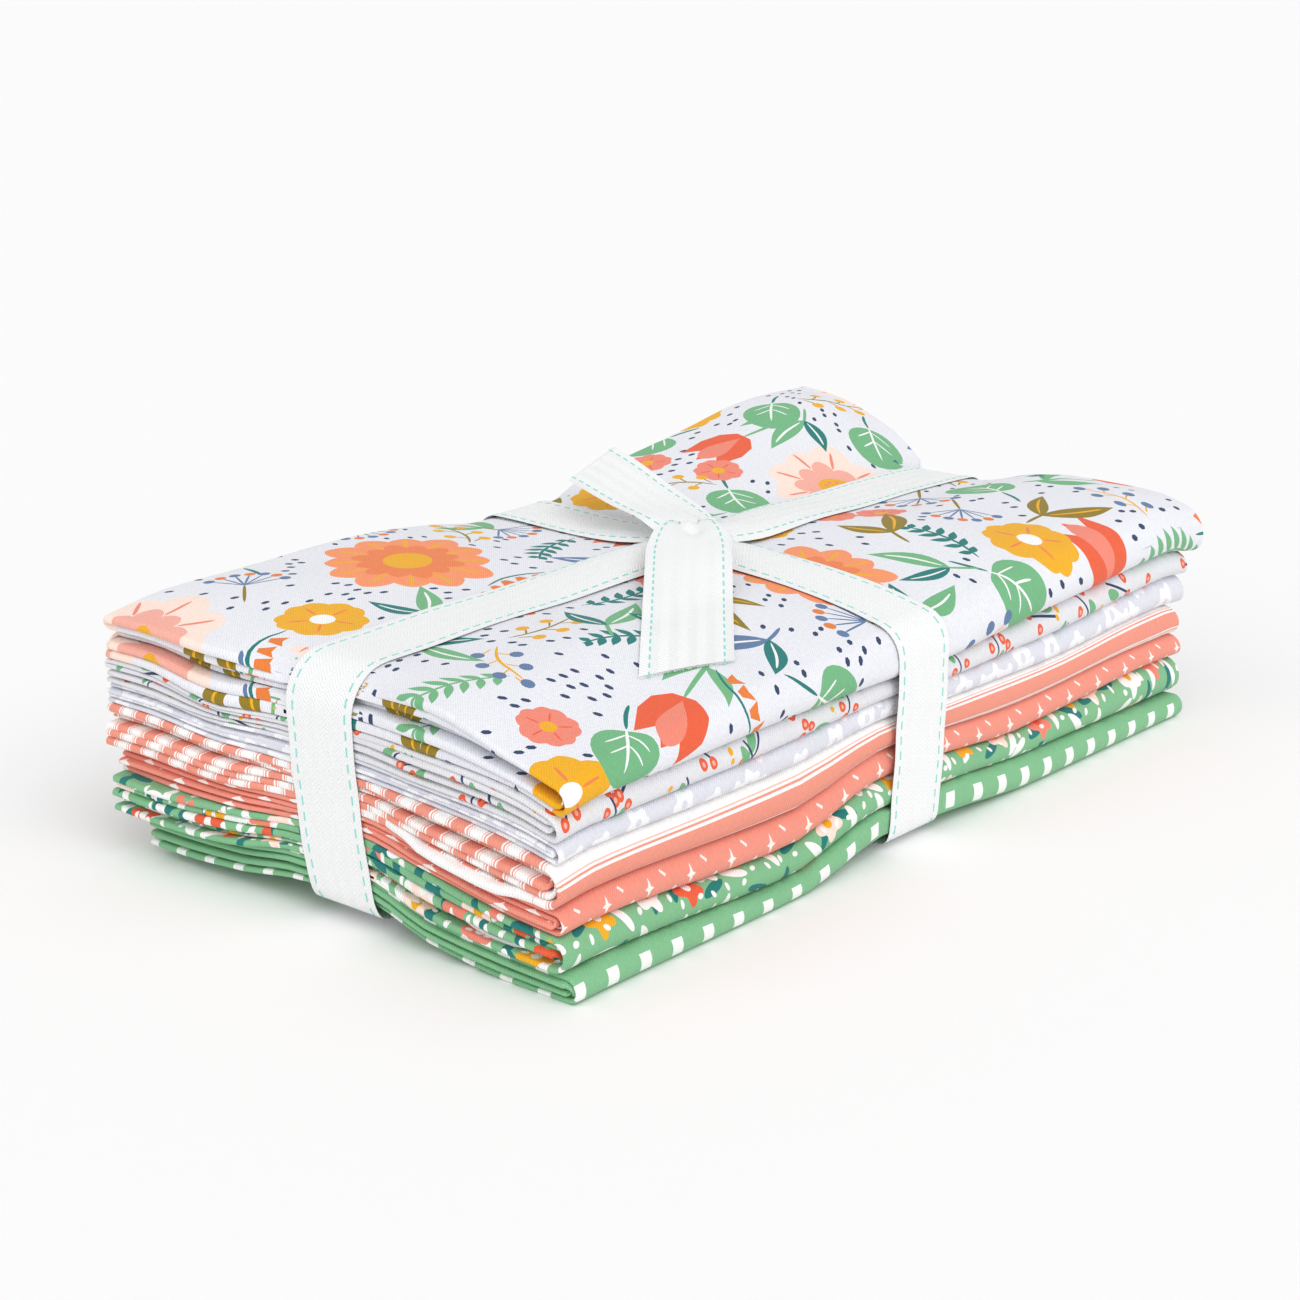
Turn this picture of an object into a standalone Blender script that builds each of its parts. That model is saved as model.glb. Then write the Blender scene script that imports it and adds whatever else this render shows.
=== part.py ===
"""A bundle of seven folded cuts of quilting cotton, tied both ways with one woven ribbon.

Metres, +Z up. X runs along the long side of the stack and Y along the short one. The origin is on the
surface that the bundle rests on, under the middle of its box. The left end (-X) and the front (-Y) are
the sides that show their folds.

Every cut is one strip, folded six layers deep: its section across Y turns back and forth, with the
outermost turn at the front. All the cuts share one set of drawing lines, u along X and v along Y, and
one set of height levels, which the tie pinches together and the corners let go.
"""
import math
from collections import namedtuple

import bmesh
import bpy
from mathutils import Vector

MM = 0.001

# The stack between its fold lines
HALF_LENGTH = 140.5 * MM
HALF_WIDTH = 76 * MM

# One folded cut: six layers, each standing for four plies of cotton
LAYERS = 6
SHEET = 1.2 * MM
LAYER_GAP = 0.3 * MM
PITCH = SHEET + LAYER_GAP
CUT_HEIGHT = LAYERS * SHEET + (LAYERS - 1) * LAYER_GAP
CUT_GAP = 0.36 * MM
FREE_END = 0.6 * MM
RAGGED_ENDS = (0.0, 0.9 * MM, 0.3 * MM, 1.3 * MM, 0.2 * MM, 0.7 * MM)
TURN_STEPS = 4
OUTER_TURN_STEPS = 6

# The ribbon
RIBBON_WIDTH = 23 * MM
RIBBON_THICKNESS = 1.0 * MM
RIBBON_CORNER = 3.0 * MM
CLEARANCE = 0.35 * MM
UNDER_REACH = RIBBON_WIDTH / 2 + 2 * MM

# Drawing lines, as shares of half the length and half the width
U_SHARES = (-1.0, -0.93, -0.4, -0.105, 0.105, 0.4, 0.93, 1.0)
V_SHARES = (-1.0, -0.8, -0.45, -0.16, 0.16, 0.45, 0.8, 1.0)
STRIP_U = 0.105
STRIP_V = 0.16
LOBE_U = 0.6
LOBE_V = 0.75
PINCH_U = 0.93
PINCH_V = 0.75

# Heights in millimetres where the inner drawing lines cross: rows from the front to the back, and
# each row from the left to the right. First the top of the stack, then its underside, which is flat
# at the corners and lifted where the tie runs.
TOP_ROWS = (
    (58.5, 62.0, 62.5, 63.0, 66.5, 69.0),
    (65.5, 67.5, 66.5, 66.5, 69.0, 70.0),
    (65.5, 67.0, 67.5, 67.5, 67.0, 65.0),
    (65.5, 67.0, 67.5, 67.5, 67.0, 64.5),
    (66.5, 68.5, 67.0, 67.5, 71.0, 74.0),
    (67.5, 69.0, 66.3, 67.5, 73.5, 83.2),
)
UNDER_ROWS = (
    (0.0, 0.0, 5.7, 3.6, 0.0, 0.0),
    (2.5, 2.6, 5.2, 4.4, 0.0, 0.0),
    (8.0, 5.2, 4.9, 4.7, 4.5, 6.0),
    (7.2, 5.0, 4.8, 4.7, 4.6, 6.5),
    (4.2, 1.5, 5.0, 5.0, 0.0, 0.0),
    (2.8, 0.0, 6.0, 6.0, 0.0, 0.0),
)

# Past the inner lines the top rolls down towards its edges, and the tie draws the edges in
END_ROLL = 1.5 * MM
FRONT_ROLL = 4.5 * MM
BACK_ROLL = 0.4 * MM
END_PINCH = 3.0 * MM

# Where the tie crosses each edge, off the middle lines, and how far it leans on its way down
TIE_Y_LEFT = 3 * MM
TIE_Y_KNOT = 2 * MM
TIE_Y_RIGHT = 10 * MM
TIE_X_FRONT = -3 * MM
TIE_X_KNOT = -3.5 * MM
TIE_X_BACK = 1 * MM
LEAN_LEFT = -7 * MM
LEAN_RIGHT = -2 * MM
LEAN_FRONT = -3 * MM
LEAN_BACK = 1 * MM

# Each cut from the top down: its reach past the fold lines on four sides, and its share of the
# stack's height in percent: along the left end from the front to the back, along the front from the
# left to the right, and at the back right corner
Cut = namedtuple("Cut", "name colour left right front back end_shares side_shares corner_share")
CUTS = (
    Cut(
        "cut_1_large_floral", (0.74, 0.75, 0.83), 2.0, 4.0, 1.0, 0.0,
        (14.5, 19.0, 17.3, 19.9, 20.1, 18.6), (14.5, 18.1, 20.1, 21.3, 22.2, 20.4), 18.0,
    ),
    Cut(
        "cut_2_berry_sprig", (0.78, 0.78, 0.82), 3.5, -1.0, -1.0, 1.5,
        (13.6, 12.6, 14.2, 12.7, 12.2, 11.9), (13.6, 13.0, 13.0, 12.7, 12.8, 11.4), 13.0,
    ),
    Cut(
        "cut_3_soft_bloom", (0.72, 0.73, 0.81), 2.5, -3.5, -1.5, 1.5,
        (13.6, 11.9, 13.2, 12.7, 12.2, 11.9), (13.6, 13.0, 13.0, 12.7, 11.8, 15.5), 14.0,
    ),
    Cut(
        "cut_4_stripe", (0.87, 0.55, 0.47), 4.0, -5.5, -0.5, 2.0,
        (15.7, 15.2, 14.2, 14.7, 15.2, 16.6), (15.7, 15.9, 14.3, 13.2, 14.1, 12.4), 13.5,
    ),
    Cut(
        "cut_5_star", (0.87, 0.27, 0.20), 3.0, -2.5, -0.5, 0.5,
        (13.8, 11.9, 13.2, 12.7, 12.2, 12.4), (13.8, 13.3, 13.3, 13.7, 13.1, 11.1), 13.0,
    ),
    Cut(
        "cut_6_meadow", (0.17, 0.44, 0.22), 3.0, -3.5, 0.5, 1.5,
        (15.2, 17.5, 14.7, 14.4, 15.0, 14.8), (15.2, 13.6, 13.5, 12.7, 11.8, 18.2), 15.0,
    ),
    Cut(
        "cut_7_check", (0.20, 0.47, 0.25), 1.0, 0.0, 2.0, -6.0,
        (13.6, 11.9, 13.2, 12.9, 13.2, 13.8), (13.6, 13.1, 12.8, 13.7, 14.2, 11.0), 13.5,
    ),
)
CLOTH_ROUGHNESS = 0.9
RIBBON_COLOUR = (0.93, 0.94, 0.93)
RIBBON_ROUGHNESS = 0.6

# The knot, a flattened ball with the ribbon's turn across it
KNOT_SIZE = Vector((25 * MM, 23 * MM, 9.5 * MM))
KNOT_AROUND = 16
KNOT_RINGS = 9
KNOT_TURN_DEPTH = 0.08
LEG_RISE_START = 25 * MM

# The free ends: distance along from the knot's middle, height of the ribbon's middle where the
# cloth leaves room for it, and how far its side that faces the left end stands above that
TailPoint = namedtuple("TailPoint", "along height bank")
FRONT_TAIL = (
    TailPoint(11.3 * MM, 75.3 * MM, 0.0),
    TailPoint(22 * MM, 76.0 * MM, 0.0),
    TailPoint(36 * MM, 74.0 * MM, 0.0),
    TailPoint(48 * MM, 71.0 * MM, 0.8 * MM),
    TailPoint(60 * MM, 68.0 * MM, 1.6 * MM),
    TailPoint(70 * MM, 66.0 * MM, 1.8 * MM),
    TailPoint(80 * MM, 63.0 * MM, 1.8 * MM),
    TailPoint(90 * MM, 61.0 * MM, 1.8 * MM),
    TailPoint(98 * MM, 60.0 * MM, 1.8 * MM),
)
FRONT_TAIL_HEADING = 220
FRONT_TAIL_SLANT = -17 * MM
BACK_TAIL = (
    TailPoint(11.3 * MM, 75.3 * MM, 0.0),
    TailPoint(22 * MM, 76.8 * MM, 0.0),
    TailPoint(31 * MM, 78.5 * MM, 0.0),
    TailPoint(42 * MM, 80.3 * MM, 0.0),
    TailPoint(54 * MM, 81.7 * MM, 0.0),
)
BACK_TAIL_HEADING = 72
BACK_TAIL_SLANT = -20 * MM


def mix(a, b, share):
    """A value between a and b."""
    return a + (b - a) * share


def over(value, start, end):
    """How far value is from start to end, kept between 0 and 1."""
    return min(max((value - start) / (end - start), 0.0), 1.0)


def tied_share(share, strip, lobe):
    """1 in the tied strip, falling smoothly to 0 where a lobe begins."""
    return 0.5 + 0.5 * math.cos(math.pi * over(abs(share), strip, lobe))


def inner(lines, index):
    """The inner drawing line that a line takes its height from, and how far it lies past it."""
    nearest = min(max(index, 1), len(lines) - 2)
    return nearest - 1, index - nearest


def share_above(level, i, j):
    """The share of the stack's height above a level where inner lines i (across X) and j cross."""
    right = (U_SHARES[i + 1] - U_SHARES[1]) / (U_SHARES[-2] - U_SHARES[1])
    back = (V_SHARES[j + 1] - V_SHARES[1]) / (V_SHARES[-2] - V_SHARES[1])
    total = 0.0
    for cut in CUTS[:level]:
        total += (1 - right) * cut.end_shares[j] + (1 - back) * cut.side_shares[i]
        total += right * back * cut.corner_share - (1 - right) * (1 - back) * cut.end_shares[0]
    return total / 100


def level_height(level, column, row):
    """Height of a seam between cuts: level 0 is the top and the last level the underside."""
    i, past_end = inner(U_SHARES, column)
    j, past_edge = inner(V_SHARES, row)
    top, under = TOP_ROWS[j][i] * MM, UNDER_ROWS[j][i] * MM
    if level == len(CUTS):
        return under
    edge_roll = FRONT_ROLL if past_edge < 0 else BACK_ROLL
    fall = END_ROLL * abs(past_end) + edge_roll * abs(past_edge)
    return mix(top, under, share_above(level, i, j)) - fall * (1 - level / len(CUTS))


LEVELS = [
    [[level_height(n, i, j) for j in range(len(V_SHARES))] for i in range(len(U_SHARES))]
    for n in range(len(CUTS) + 1)
]


def cell(lines, share):
    """The span of lines that holds a share, and how far across that span it is."""
    index = max(i for i in range(len(lines) - 1) if i == 0 or lines[i] <= share)
    return index, (share - lines[index]) / (lines[index + 1] - lines[index])


def height_at(level, u, v):
    """Height of a level between the drawing lines, where every cut bends along the same creases."""
    i, p = cell(U_SHARES, u / HALF_LENGTH)
    j, q = cell(V_SHARES, v / HALF_WIDTH)
    grid = LEVELS[level]
    low = mix(grid[i][j], grid[i][j + 1], q)
    high = mix(grid[i + 1][j], grid[i + 1][j + 1], q)
    return mix(low, high, p)


def off_middle(share, start, middle, end):
    """The tie's distance off a middle line, from one edge through the knot to the other."""
    return mix(middle, start, -share) if share < 0 else mix(middle, end, share)


def plan(u, v):
    """Where a drawing point lies in plan: the lines follow the tie, which draws in their ends."""
    a, b = u / HALF_LENGTH, v / HALF_WIDTH
    shift_x = off_middle(b, TIE_X_FRONT, TIE_X_KNOT, TIE_X_BACK) * max(1 - abs(a), 0)
    shift_y = off_middle(a, TIE_Y_LEFT, TIE_Y_KNOT, TIE_Y_RIGHT) * max(1 - abs(b), 0)
    pinch_x = END_PINCH * tied_share(b, STRIP_V, LOBE_V) * max(abs(a) - PINCH_U, 0) / (1 - PINCH_U)
    pinch_y = END_PINCH * tied_share(a, STRIP_U, LOBE_U) * max(abs(b) - PINCH_V, 0) / (1 - PINCH_V)
    return u + shift_x - math.copysign(pinch_x, u), v + shift_y - math.copysign(pinch_y, v)


def top_at(x, y):
    """Height of the top of the stack at a point in plan."""
    u, v = x, y
    for _ in range(3):
        plan_x, plan_y = plan(u, v)
        u, v = u + x - plan_x, v + y - plan_y
    return height_at(0, u, v)


# A point on the middle of a cut's strip: its place across the stack, its height as a share of the
# cut's height, the direction to the strip's left side, and how far its ends stop short
PathPoint = namedtuple("PathPoint", "v s side_v side_s short")


def layer_share(layer):
    """Height of a layer's middle as a share of the cut's height; layer 1 is the top one."""
    return 1.0 - (SHEET / 2 + (layer - 1) * PITCH) / CUT_HEIGHT


def ragged(layer, cut_index):
    """How far a layer's two ends stop short of the cut's own reach."""
    return RAGGED_ENDS[(layer + cut_index) % LAYERS]


def run(layer, cut_index, forward, free_end=None):
    """A layer's points on the drawing lines, with its free end where it has one."""
    places = [share * HALF_WIDTH for share in V_SHARES[1:-1]]
    if free_end is not None:
        places.append(free_end)
    side = 1.0 if forward else -1.0
    short = ragged(layer, cut_index)
    points = [PathPoint(v, layer_share(layer), 0.0, side, short) for v in places]
    return points if forward else points[::-1]


def turn(centre, outward, start_layer, end_layer, cut_index, steps=TURN_STEPS):
    """A half round that joins two layers; outward is -1 at the front and 1 at the back."""
    middle = (layer_share(start_layer) + layer_share(end_layer)) / 2
    radius = abs(start_layer - end_layer) / 2 * PITCH
    rising = 1.0 if end_layer < start_layer else -1.0
    shorts = ragged(start_layer, cut_index), ragged(end_layer, cut_index)
    points = []
    for step in range(steps + 1):
        angle = rising * math.pi * (step / steps - 0.5)
        reach, rise = math.cos(angle), math.sin(angle)
        v = centre + outward * radius * reach
        s = middle + radius * rise / CUT_HEIGHT
        short = mix(*shorts, step / steps)
        points.append(PathPoint(v, s, -rising * reach, -rising * outward * rise, short))
    return points


def fold_path(cut, cut_index):
    """The middle line of a cut's strip, from the end under the bottom layer to the one inside."""
    front = -(HALF_WIDTH + cut.front * MM) + CUT_HEIGHT / 2
    back = HALF_WIDTH + cut.back * MM - PITCH / 2 - SHEET / 2
    free_end = back + FREE_END
    path = run(6, cut_index, False, free_end)
    path += turn(front, -1, 6, 1, cut_index, OUTER_TURN_STEPS)
    path += run(1, cut_index, True)
    path += turn(back, 1, 1, 2, cut_index)
    path += run(2, cut_index, False)
    path += turn(front, -1, 2, 5, cut_index)
    path += run(5, cut_index, True)
    path += turn(back, 1, 5, 4, cut_index)
    path += run(4, cut_index, False)
    path += turn(front, -1, 4, 3, cut_index)
    path += run(3, cut_index, True, free_end)
    return path


def cloth_point(cut, cut_index, point, side, station):
    """A corner of a cut's strip, on its left (1) or right (-1) side, at a station along X."""
    v = point.v + side * point.side_v * SHEET / 2
    s = point.s + side * point.side_s * SHEET / 2 / CUT_HEIGHT
    u = U_SHARES[station] * HALF_LENGTH
    if station == 0:
        u -= cut.left * MM - point.short
    if station == len(U_SHARES) - 1:
        u += cut.right * MM - point.short
    top = height_at(cut_index, u, v)
    under = height_at(cut_index + 1, u, v)
    if cut_index > 0:
        top -= CUT_GAP / 2
    if cut_index + 1 < len(CUTS):
        under += CUT_GAP / 2
    return Vector((*plan(u, v), mix(under, top, s)))


def finish(name, bm, colour, roughness):
    """Makes a named object with its own material from a closed bmesh."""
    bmesh.ops.recalc_face_normals(bm, faces=bm.faces)
    mesh = bpy.data.meshes.new(name)
    bm.to_mesh(mesh)
    bm.free()
    material = bpy.data.materials.new(name)
    material.use_nodes = True
    shader = material.node_tree.nodes["Principled BSDF"]
    shader.inputs["Base Color"].default_value = (*colour, 1.0)
    shader.inputs["Roughness"].default_value = roughness
    shader.inputs["Metallic"].default_value = 0.0
    mesh.materials.append(material)
    thing = bpy.data.objects.new(name, mesh)
    bpy.context.scene.collection.objects.link(thing)
    return thing


def split_quad(bm, near, far, first, second):
    """Two triangles between two rings, with the crease from low X and Y to high X and Y."""
    corners = near[first], near[second], far[second], far[first]
    if corners[0].co.y <= corners[1].co.y:
        halves = (corners[0], corners[1], corners[2]), (corners[0], corners[2], corners[3])
    else:
        halves = (corners[0], corners[1], corners[3]), (corners[1], corners[2], corners[3])
    for half in halves:
        bm.faces.new(half)


def build_cut(cut, cut_index):
    """One folded cut, closed at both ends of its strip."""
    path = fold_path(cut, cut_index)
    count = len(path)
    outline = [(point, 1) for point in path] + [(point, -1) for point in reversed(path)]
    bm = bmesh.new()
    rings = []
    for station in range(len(U_SHARES)):
        corners = [cloth_point(cut, cut_index, point, side, station) for point, side in outline]
        rings.append([bm.verts.new(corner) for corner in corners])
    for near, far in zip(rings, rings[1:]):
        for first in range(len(outline)):
            split_quad(bm, near, far, first, (first + 1) % len(outline))
    for ring in (rings[0], rings[-1]):
        for i in range(count - 1):
            left, right = ring[i], ring[i + 1]
            right_under, left_under = ring[-2 - i], ring[-1 - i]
            bm.faces.new((left, right, right_under))
            bm.faces.new((left, right_under, left_under))
    return finish(cut.name, bm, cut.colour, CLOTH_ROUGHNESS)


def build_band(name, sections):
    """A closed strip through sections of four corners each."""
    bm = bmesh.new()
    rings = [[bm.verts.new(corner) for corner in section] for section in sections]
    for near, far in zip(rings, rings[1:]):
        for first in range(len(near)):
            split_quad(bm, near, far, first, (first + 1) % len(near))
    bm.faces.new(rings[0])
    bm.faces.new(rings[-1])
    bmesh.ops.triangulate(bm, faces=[face for face in bm.faces if len(face.verts) > 3])
    return finish(name, bm, RIBBON_COLOUR, RIBBON_ROUGHNESS)


# A point on the inner face of a wrap: its place along the wrap's own axis, its height, and where
# the ribbon's middle lies on the other axis
WrapPoint = namedtuple("WrapPoint", "place height middle")


def outward_directions(points):
    """For each point, the mitred direction away from the stack, seen along the ribbon's width."""
    normals = []
    for a, b in zip(points, points[1:]):
        span = Vector((b.place - a.place, b.height - a.height)).normalized()
        normals.append(Vector((span.y, -span.x)))
    directions = []
    for before, after in zip(normals[:1] + normals, normals + normals[-1:]):
        middle = (before + after).normalized()
        directions.append(middle / max(middle.dot(before), 0.75))
    return directions


def wrap_sections(points, along_x):
    """The four corners of the ribbon at each point of a wrap."""
    sections = []
    for point, direction in zip(points, outward_directions(points)):
        outer_place = point.place + direction.x * RIBBON_THICKNESS
        outer_height = point.height + direction.y * RIBBON_THICKNESS
        low, high = point.middle - RIBBON_WIDTH / 2, point.middle + RIBBON_WIDTH / 2
        corners = []
        for place, height, side in (
            (point.place, point.height, low),
            (point.place, point.height, high),
            (outer_place, outer_height, high),
            (outer_place, outer_height, low),
        ):
            corners.append(Vector((place, side, height) if along_x else (side, place, height)))
        sections.append(corners)
    return sections


def over_long(u):
    """Height of the long wrap's inner face on top of the stack, clear of the cloth below it."""
    places = (-RIBBON_WIDTH / 2, 0, RIBBON_WIDTH / 2)
    return max(height_at(0, u, v) for v in places) + CLEARANCE


def over_short(v):
    """Height of the short wrap's inner face on top of the stack, clear of the cloth below it."""
    places = (-RIBBON_WIDTH / 2, 0, RIBBON_WIDTH / 2)
    return max(height_at(0, u, v) for u in places) + CLEARANCE


def under_long(u, lean):
    """Height of the long wrap's inner face under the stack, clear of the cloth above it."""
    places = (lean - UNDER_REACH, lean, lean + UNDER_REACH)
    return min(height_at(len(CUTS), u, v) for v in places) - CLEARANCE


def under_short(v, lean):
    """Height of the short wrap's inner face under the stack, clear of the long wrap where they cross."""
    places = (lean - UNDER_REACH, lean, lean + UNDER_REACH)
    lowest = min(height_at(len(CUTS), u, v) for u in places) - CLEARANCE
    crossing = abs(v) <= 0.3 * HALF_WIDTH
    return lowest - (RIBBON_THICKNESS + CLEARANCE if crossing else 0.0)


def knot_middle():
    """The knot's middle, resting just clear of the top cut."""
    return Vector((TIE_X_KNOT, TIE_Y_KNOT, height_at(0, 0, 0) + CLEARANCE + KNOT_SIZE.z / 2))


def long_top(side):
    """The long wrap's points on top of the stack, from the knot to one end (-1 left, 1 right)."""
    knot = knot_middle()
    reach = max(cut.left if side < 0 else cut.right for cut in CUTS) * MM
    start = WrapPoint(
        knot.x + side * (KNOT_SIZE.x / 2 + CLEARANCE), knot.z - RIBBON_THICKNESS / 2, TIE_Y_KNOT
    )
    points = [start]
    for u in (LEG_RISE_START, 0.4 * HALF_LENGTH, 0.93 * HALF_LENGTH):
        x, y = plan(side * u, 0)
        points.append(WrapPoint(x, over_long(side * u), y))
    x, y = plan(side * (HALF_LENGTH + reach), 0)
    end_height = over_long(side * (HALF_LENGTH + reach))
    points.append(WrapPoint(x + side * CLEARANCE, end_height, y))
    return points


def build_long_wrap():
    """The ribbon along X: from the knot over the left end, underneath, and back over the right end."""
    left, right = long_top(-1), long_top(1)
    points = list(left)
    y_left = TIE_Y_LEFT + LEAN_LEFT
    y_right = TIE_Y_RIGHT + LEAN_RIGHT
    left_low = under_long(-HALF_LENGTH, LEAN_LEFT)
    right_low = under_long(HALF_LENGTH, LEAN_RIGHT)
    for share in (0.35, 0.7, 1.0):
        height = mix(left[-1].height, left_low, share)
        middle = mix(left[-1].middle, y_left, share * share)
        points.append(WrapPoint(left[-1].place, height, middle))
    for a in U_SHARES[1:-1]:
        share = 0.5 + 0.5 * a
        lean = mix(LEAN_LEFT, LEAN_RIGHT, share)
        x, y = plan(a * HALF_LENGTH, 0)
        points.append(WrapPoint(x, under_long(a * HALF_LENGTH, lean), y + lean))
    for share in (1.0, 0.7, 0.35):
        height = mix(right[-1].height, right_low, share)
        middle = mix(right[-1].middle, y_right, share * share)
        points.append(WrapPoint(right[-1].place, height, middle))
    points += right[::-1]
    return build_band("ribbon_long_wrap", wrap_sections(points, True))


def short_top(side):
    """The short wrap's points over the top and round the edge (-1 front, 1 back)."""
    knot = knot_middle()
    start = WrapPoint(
        knot.y + side * (KNOT_SIZE.y / 2 + CLEARANCE), knot.z - RIBBON_THICKNESS / 2, TIE_X_KNOT
    )
    points = [start]
    for v in (LEG_RISE_START, 0.45 * HALF_WIDTH, 0.8 * HALF_WIDTH):
        x, y = plan(0, side * v)
        points.append(WrapPoint(y, over_short(side * v), x))
    return points


def short_side(side):
    """Where the short wrap's inner face stands at the front (-1) or back (1)."""
    reach = max(cut.front if side < 0 else cut.back for cut in CUTS) * MM
    return plan(0, side * (HALF_WIDTH + reach))[1] + side * CLEARANCE


def round_corner(side, height, middle, over_top):
    """The wrap's rounded corner above the top fold or below the bottom one."""
    place = short_side(side)
    sign = 1.0 if over_top else -1.0
    points = []
    for angle in (90, 45, 0):
        reach = RIBBON_CORNER * (1 - math.cos(math.radians(angle)))
        drop = RIBBON_CORNER * (1 - math.sin(math.radians(angle)))
        points.append(WrapPoint(place - side * reach, height - sign * drop, middle))
    return points if over_top else points[::-1]


def build_short_wrap():
    """The ribbon along Y: from the knot over the front, underneath, and back over the back."""
    front, back = short_top(-1), short_top(1)
    x_front = TIE_X_FRONT + LEAN_FRONT
    x_back = TIE_X_BACK + LEAN_BACK
    edge_front = over_short(-HALF_WIDTH + CUT_HEIGHT / 2)
    edge_back = over_short(HALF_WIDTH - CUT_HEIGHT / 2)
    points = list(front)
    points += round_corner(-1, edge_front, TIE_X_FRONT, True)
    points += round_corner(-1, under_short(-HALF_WIDTH, LEAN_FRONT), x_front, False)
    for b in (-0.8, -0.45, -0.27, 0.27, 0.45, 0.8):
        lean = mix(LEAN_FRONT, LEAN_BACK, 0.5 + 0.5 * b)
        x, y = plan(0, b * HALF_WIDTH)
        points.append(WrapPoint(y, under_short(b * HALF_WIDTH, lean), x + lean))
    points += round_corner(1, under_short(HALF_WIDTH, LEAN_BACK), x_back, False)[::-1]
    points += round_corner(1, edge_back, TIE_X_BACK, True)[::-1]
    points += back[::-1]
    return build_band("ribbon_short_wrap", wrap_sections(points, False))


def build_knot():
    """The knot: a flattened ball with one turn of the ribbon raised slantwise across it."""
    bm = bmesh.new()
    bmesh.ops.create_uvsphere(bm, u_segments=KNOT_AROUND, v_segments=KNOT_RINGS, radius=1.0)
    centre = knot_middle()
    for vert in bm.verts:
        x, y, z = vert.co
        across = (x - y) / math.sqrt(2)
        bulge = 1.0 - KNOT_TURN_DEPTH + KNOT_TURN_DEPTH * math.cos(2.2 * across) ** 2
        shape = Vector((x * KNOT_SIZE.x / 2, y * KNOT_SIZE.y / 2, z * KNOT_SIZE.z / 2 * bulge))
        vert.co = centre + shape
    bmesh.ops.triangulate(bm, faces=bm.faces)
    return finish("ribbon_knot", bm, RIBBON_COLOUR, RIBBON_ROUGHNESS)


def build_tail(name, course, heading, slant):
    """A free end of the ribbon, cut on a slant."""
    along = Vector((math.cos(math.radians(heading)), math.sin(math.radians(heading)), 0))
    across = Vector((-along.y, along.x, 0))
    knot = knot_middle()
    start, end = course[0].along, course[-1].along
    sections = []
    for point in course:
        progress = over(point.along, start, end)
        edges = []
        for side in (-1, 0, 1):
            reach = point.along + side * slant / 2 * progress
            edges.append((side, knot + along * reach + across * side * RIBBON_WIDTH / 2))
        room = max(top_at(place.x, place.y) + side * point.bank for side, place in edges)
        middle = max(point.height, room + CLEARANCE + RIBBON_THICKNESS / 2)
        corners = []
        for face, pick in ((-1, 0), (-1, 2), (1, 2), (1, 0)):
            side, place = edges[pick]
            height = middle - side * point.bank + face * RIBBON_THICKNESS / 2
            corners.append(Vector((place.x, place.y, height)))
        sections.append(corners)
    return build_band(name, sections)


def clear_scene():
    """Removes whatever the scene holds."""
    for thing in list(bpy.data.objects):
        bpy.data.objects.remove(thing, do_unlink=True)


clear_scene()
for cut_index, cut in enumerate(CUTS):
    build_cut(cut, cut_index)
build_long_wrap()
build_short_wrap()
build_knot()
build_tail("ribbon_tail_front", FRONT_TAIL, FRONT_TAIL_HEADING, FRONT_TAIL_SLANT)
build_tail("ribbon_tail_back", BACK_TAIL, BACK_TAIL_HEADING, BACK_TAIL_SLANT)
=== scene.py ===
"""The looks of a bundle of seven folded cuts of quilting cotton, tied both ways with a woven ribbon.

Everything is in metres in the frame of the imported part: X along the long side, -Y the front and +Z up.
Each cut is one real length of cloth, folded in four along its width and then in six along its length,
and laid between two of the stack's height levels. The prints are drawn in the flat cloth's own measure.
"""
from __future__ import annotations

import logging
import math
from collections.abc import Callable
from dataclasses import dataclass, field
from enum import Enum

import bpy
import numpy as np
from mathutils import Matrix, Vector
from mathutils.geometry import delaunay_2d_cdt

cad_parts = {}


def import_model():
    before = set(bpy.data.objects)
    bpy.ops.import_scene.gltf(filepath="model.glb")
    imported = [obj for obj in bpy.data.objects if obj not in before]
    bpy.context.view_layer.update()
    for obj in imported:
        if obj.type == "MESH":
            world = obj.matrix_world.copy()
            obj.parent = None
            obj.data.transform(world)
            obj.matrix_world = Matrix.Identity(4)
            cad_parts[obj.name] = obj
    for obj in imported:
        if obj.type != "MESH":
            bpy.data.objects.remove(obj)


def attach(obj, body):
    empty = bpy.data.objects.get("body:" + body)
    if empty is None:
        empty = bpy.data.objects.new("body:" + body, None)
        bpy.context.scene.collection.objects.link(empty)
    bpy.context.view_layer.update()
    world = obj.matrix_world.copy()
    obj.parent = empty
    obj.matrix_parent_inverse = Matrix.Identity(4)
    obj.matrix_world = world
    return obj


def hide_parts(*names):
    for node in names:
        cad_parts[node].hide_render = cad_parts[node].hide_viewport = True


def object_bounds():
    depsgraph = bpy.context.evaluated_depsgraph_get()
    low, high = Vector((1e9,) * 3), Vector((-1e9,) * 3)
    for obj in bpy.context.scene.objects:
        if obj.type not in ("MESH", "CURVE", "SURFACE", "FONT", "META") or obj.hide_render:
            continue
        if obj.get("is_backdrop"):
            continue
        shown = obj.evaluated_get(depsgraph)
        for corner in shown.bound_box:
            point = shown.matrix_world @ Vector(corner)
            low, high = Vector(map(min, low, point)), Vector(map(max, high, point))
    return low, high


LOG = logging.getLogger("bundle")
MM = 0.001
Points = np.ndarray
Colour = tuple[float, float, float]

# The flat width and length of a cut: one yard of 44 in cloth
CUT = (1.118, 0.914)


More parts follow.
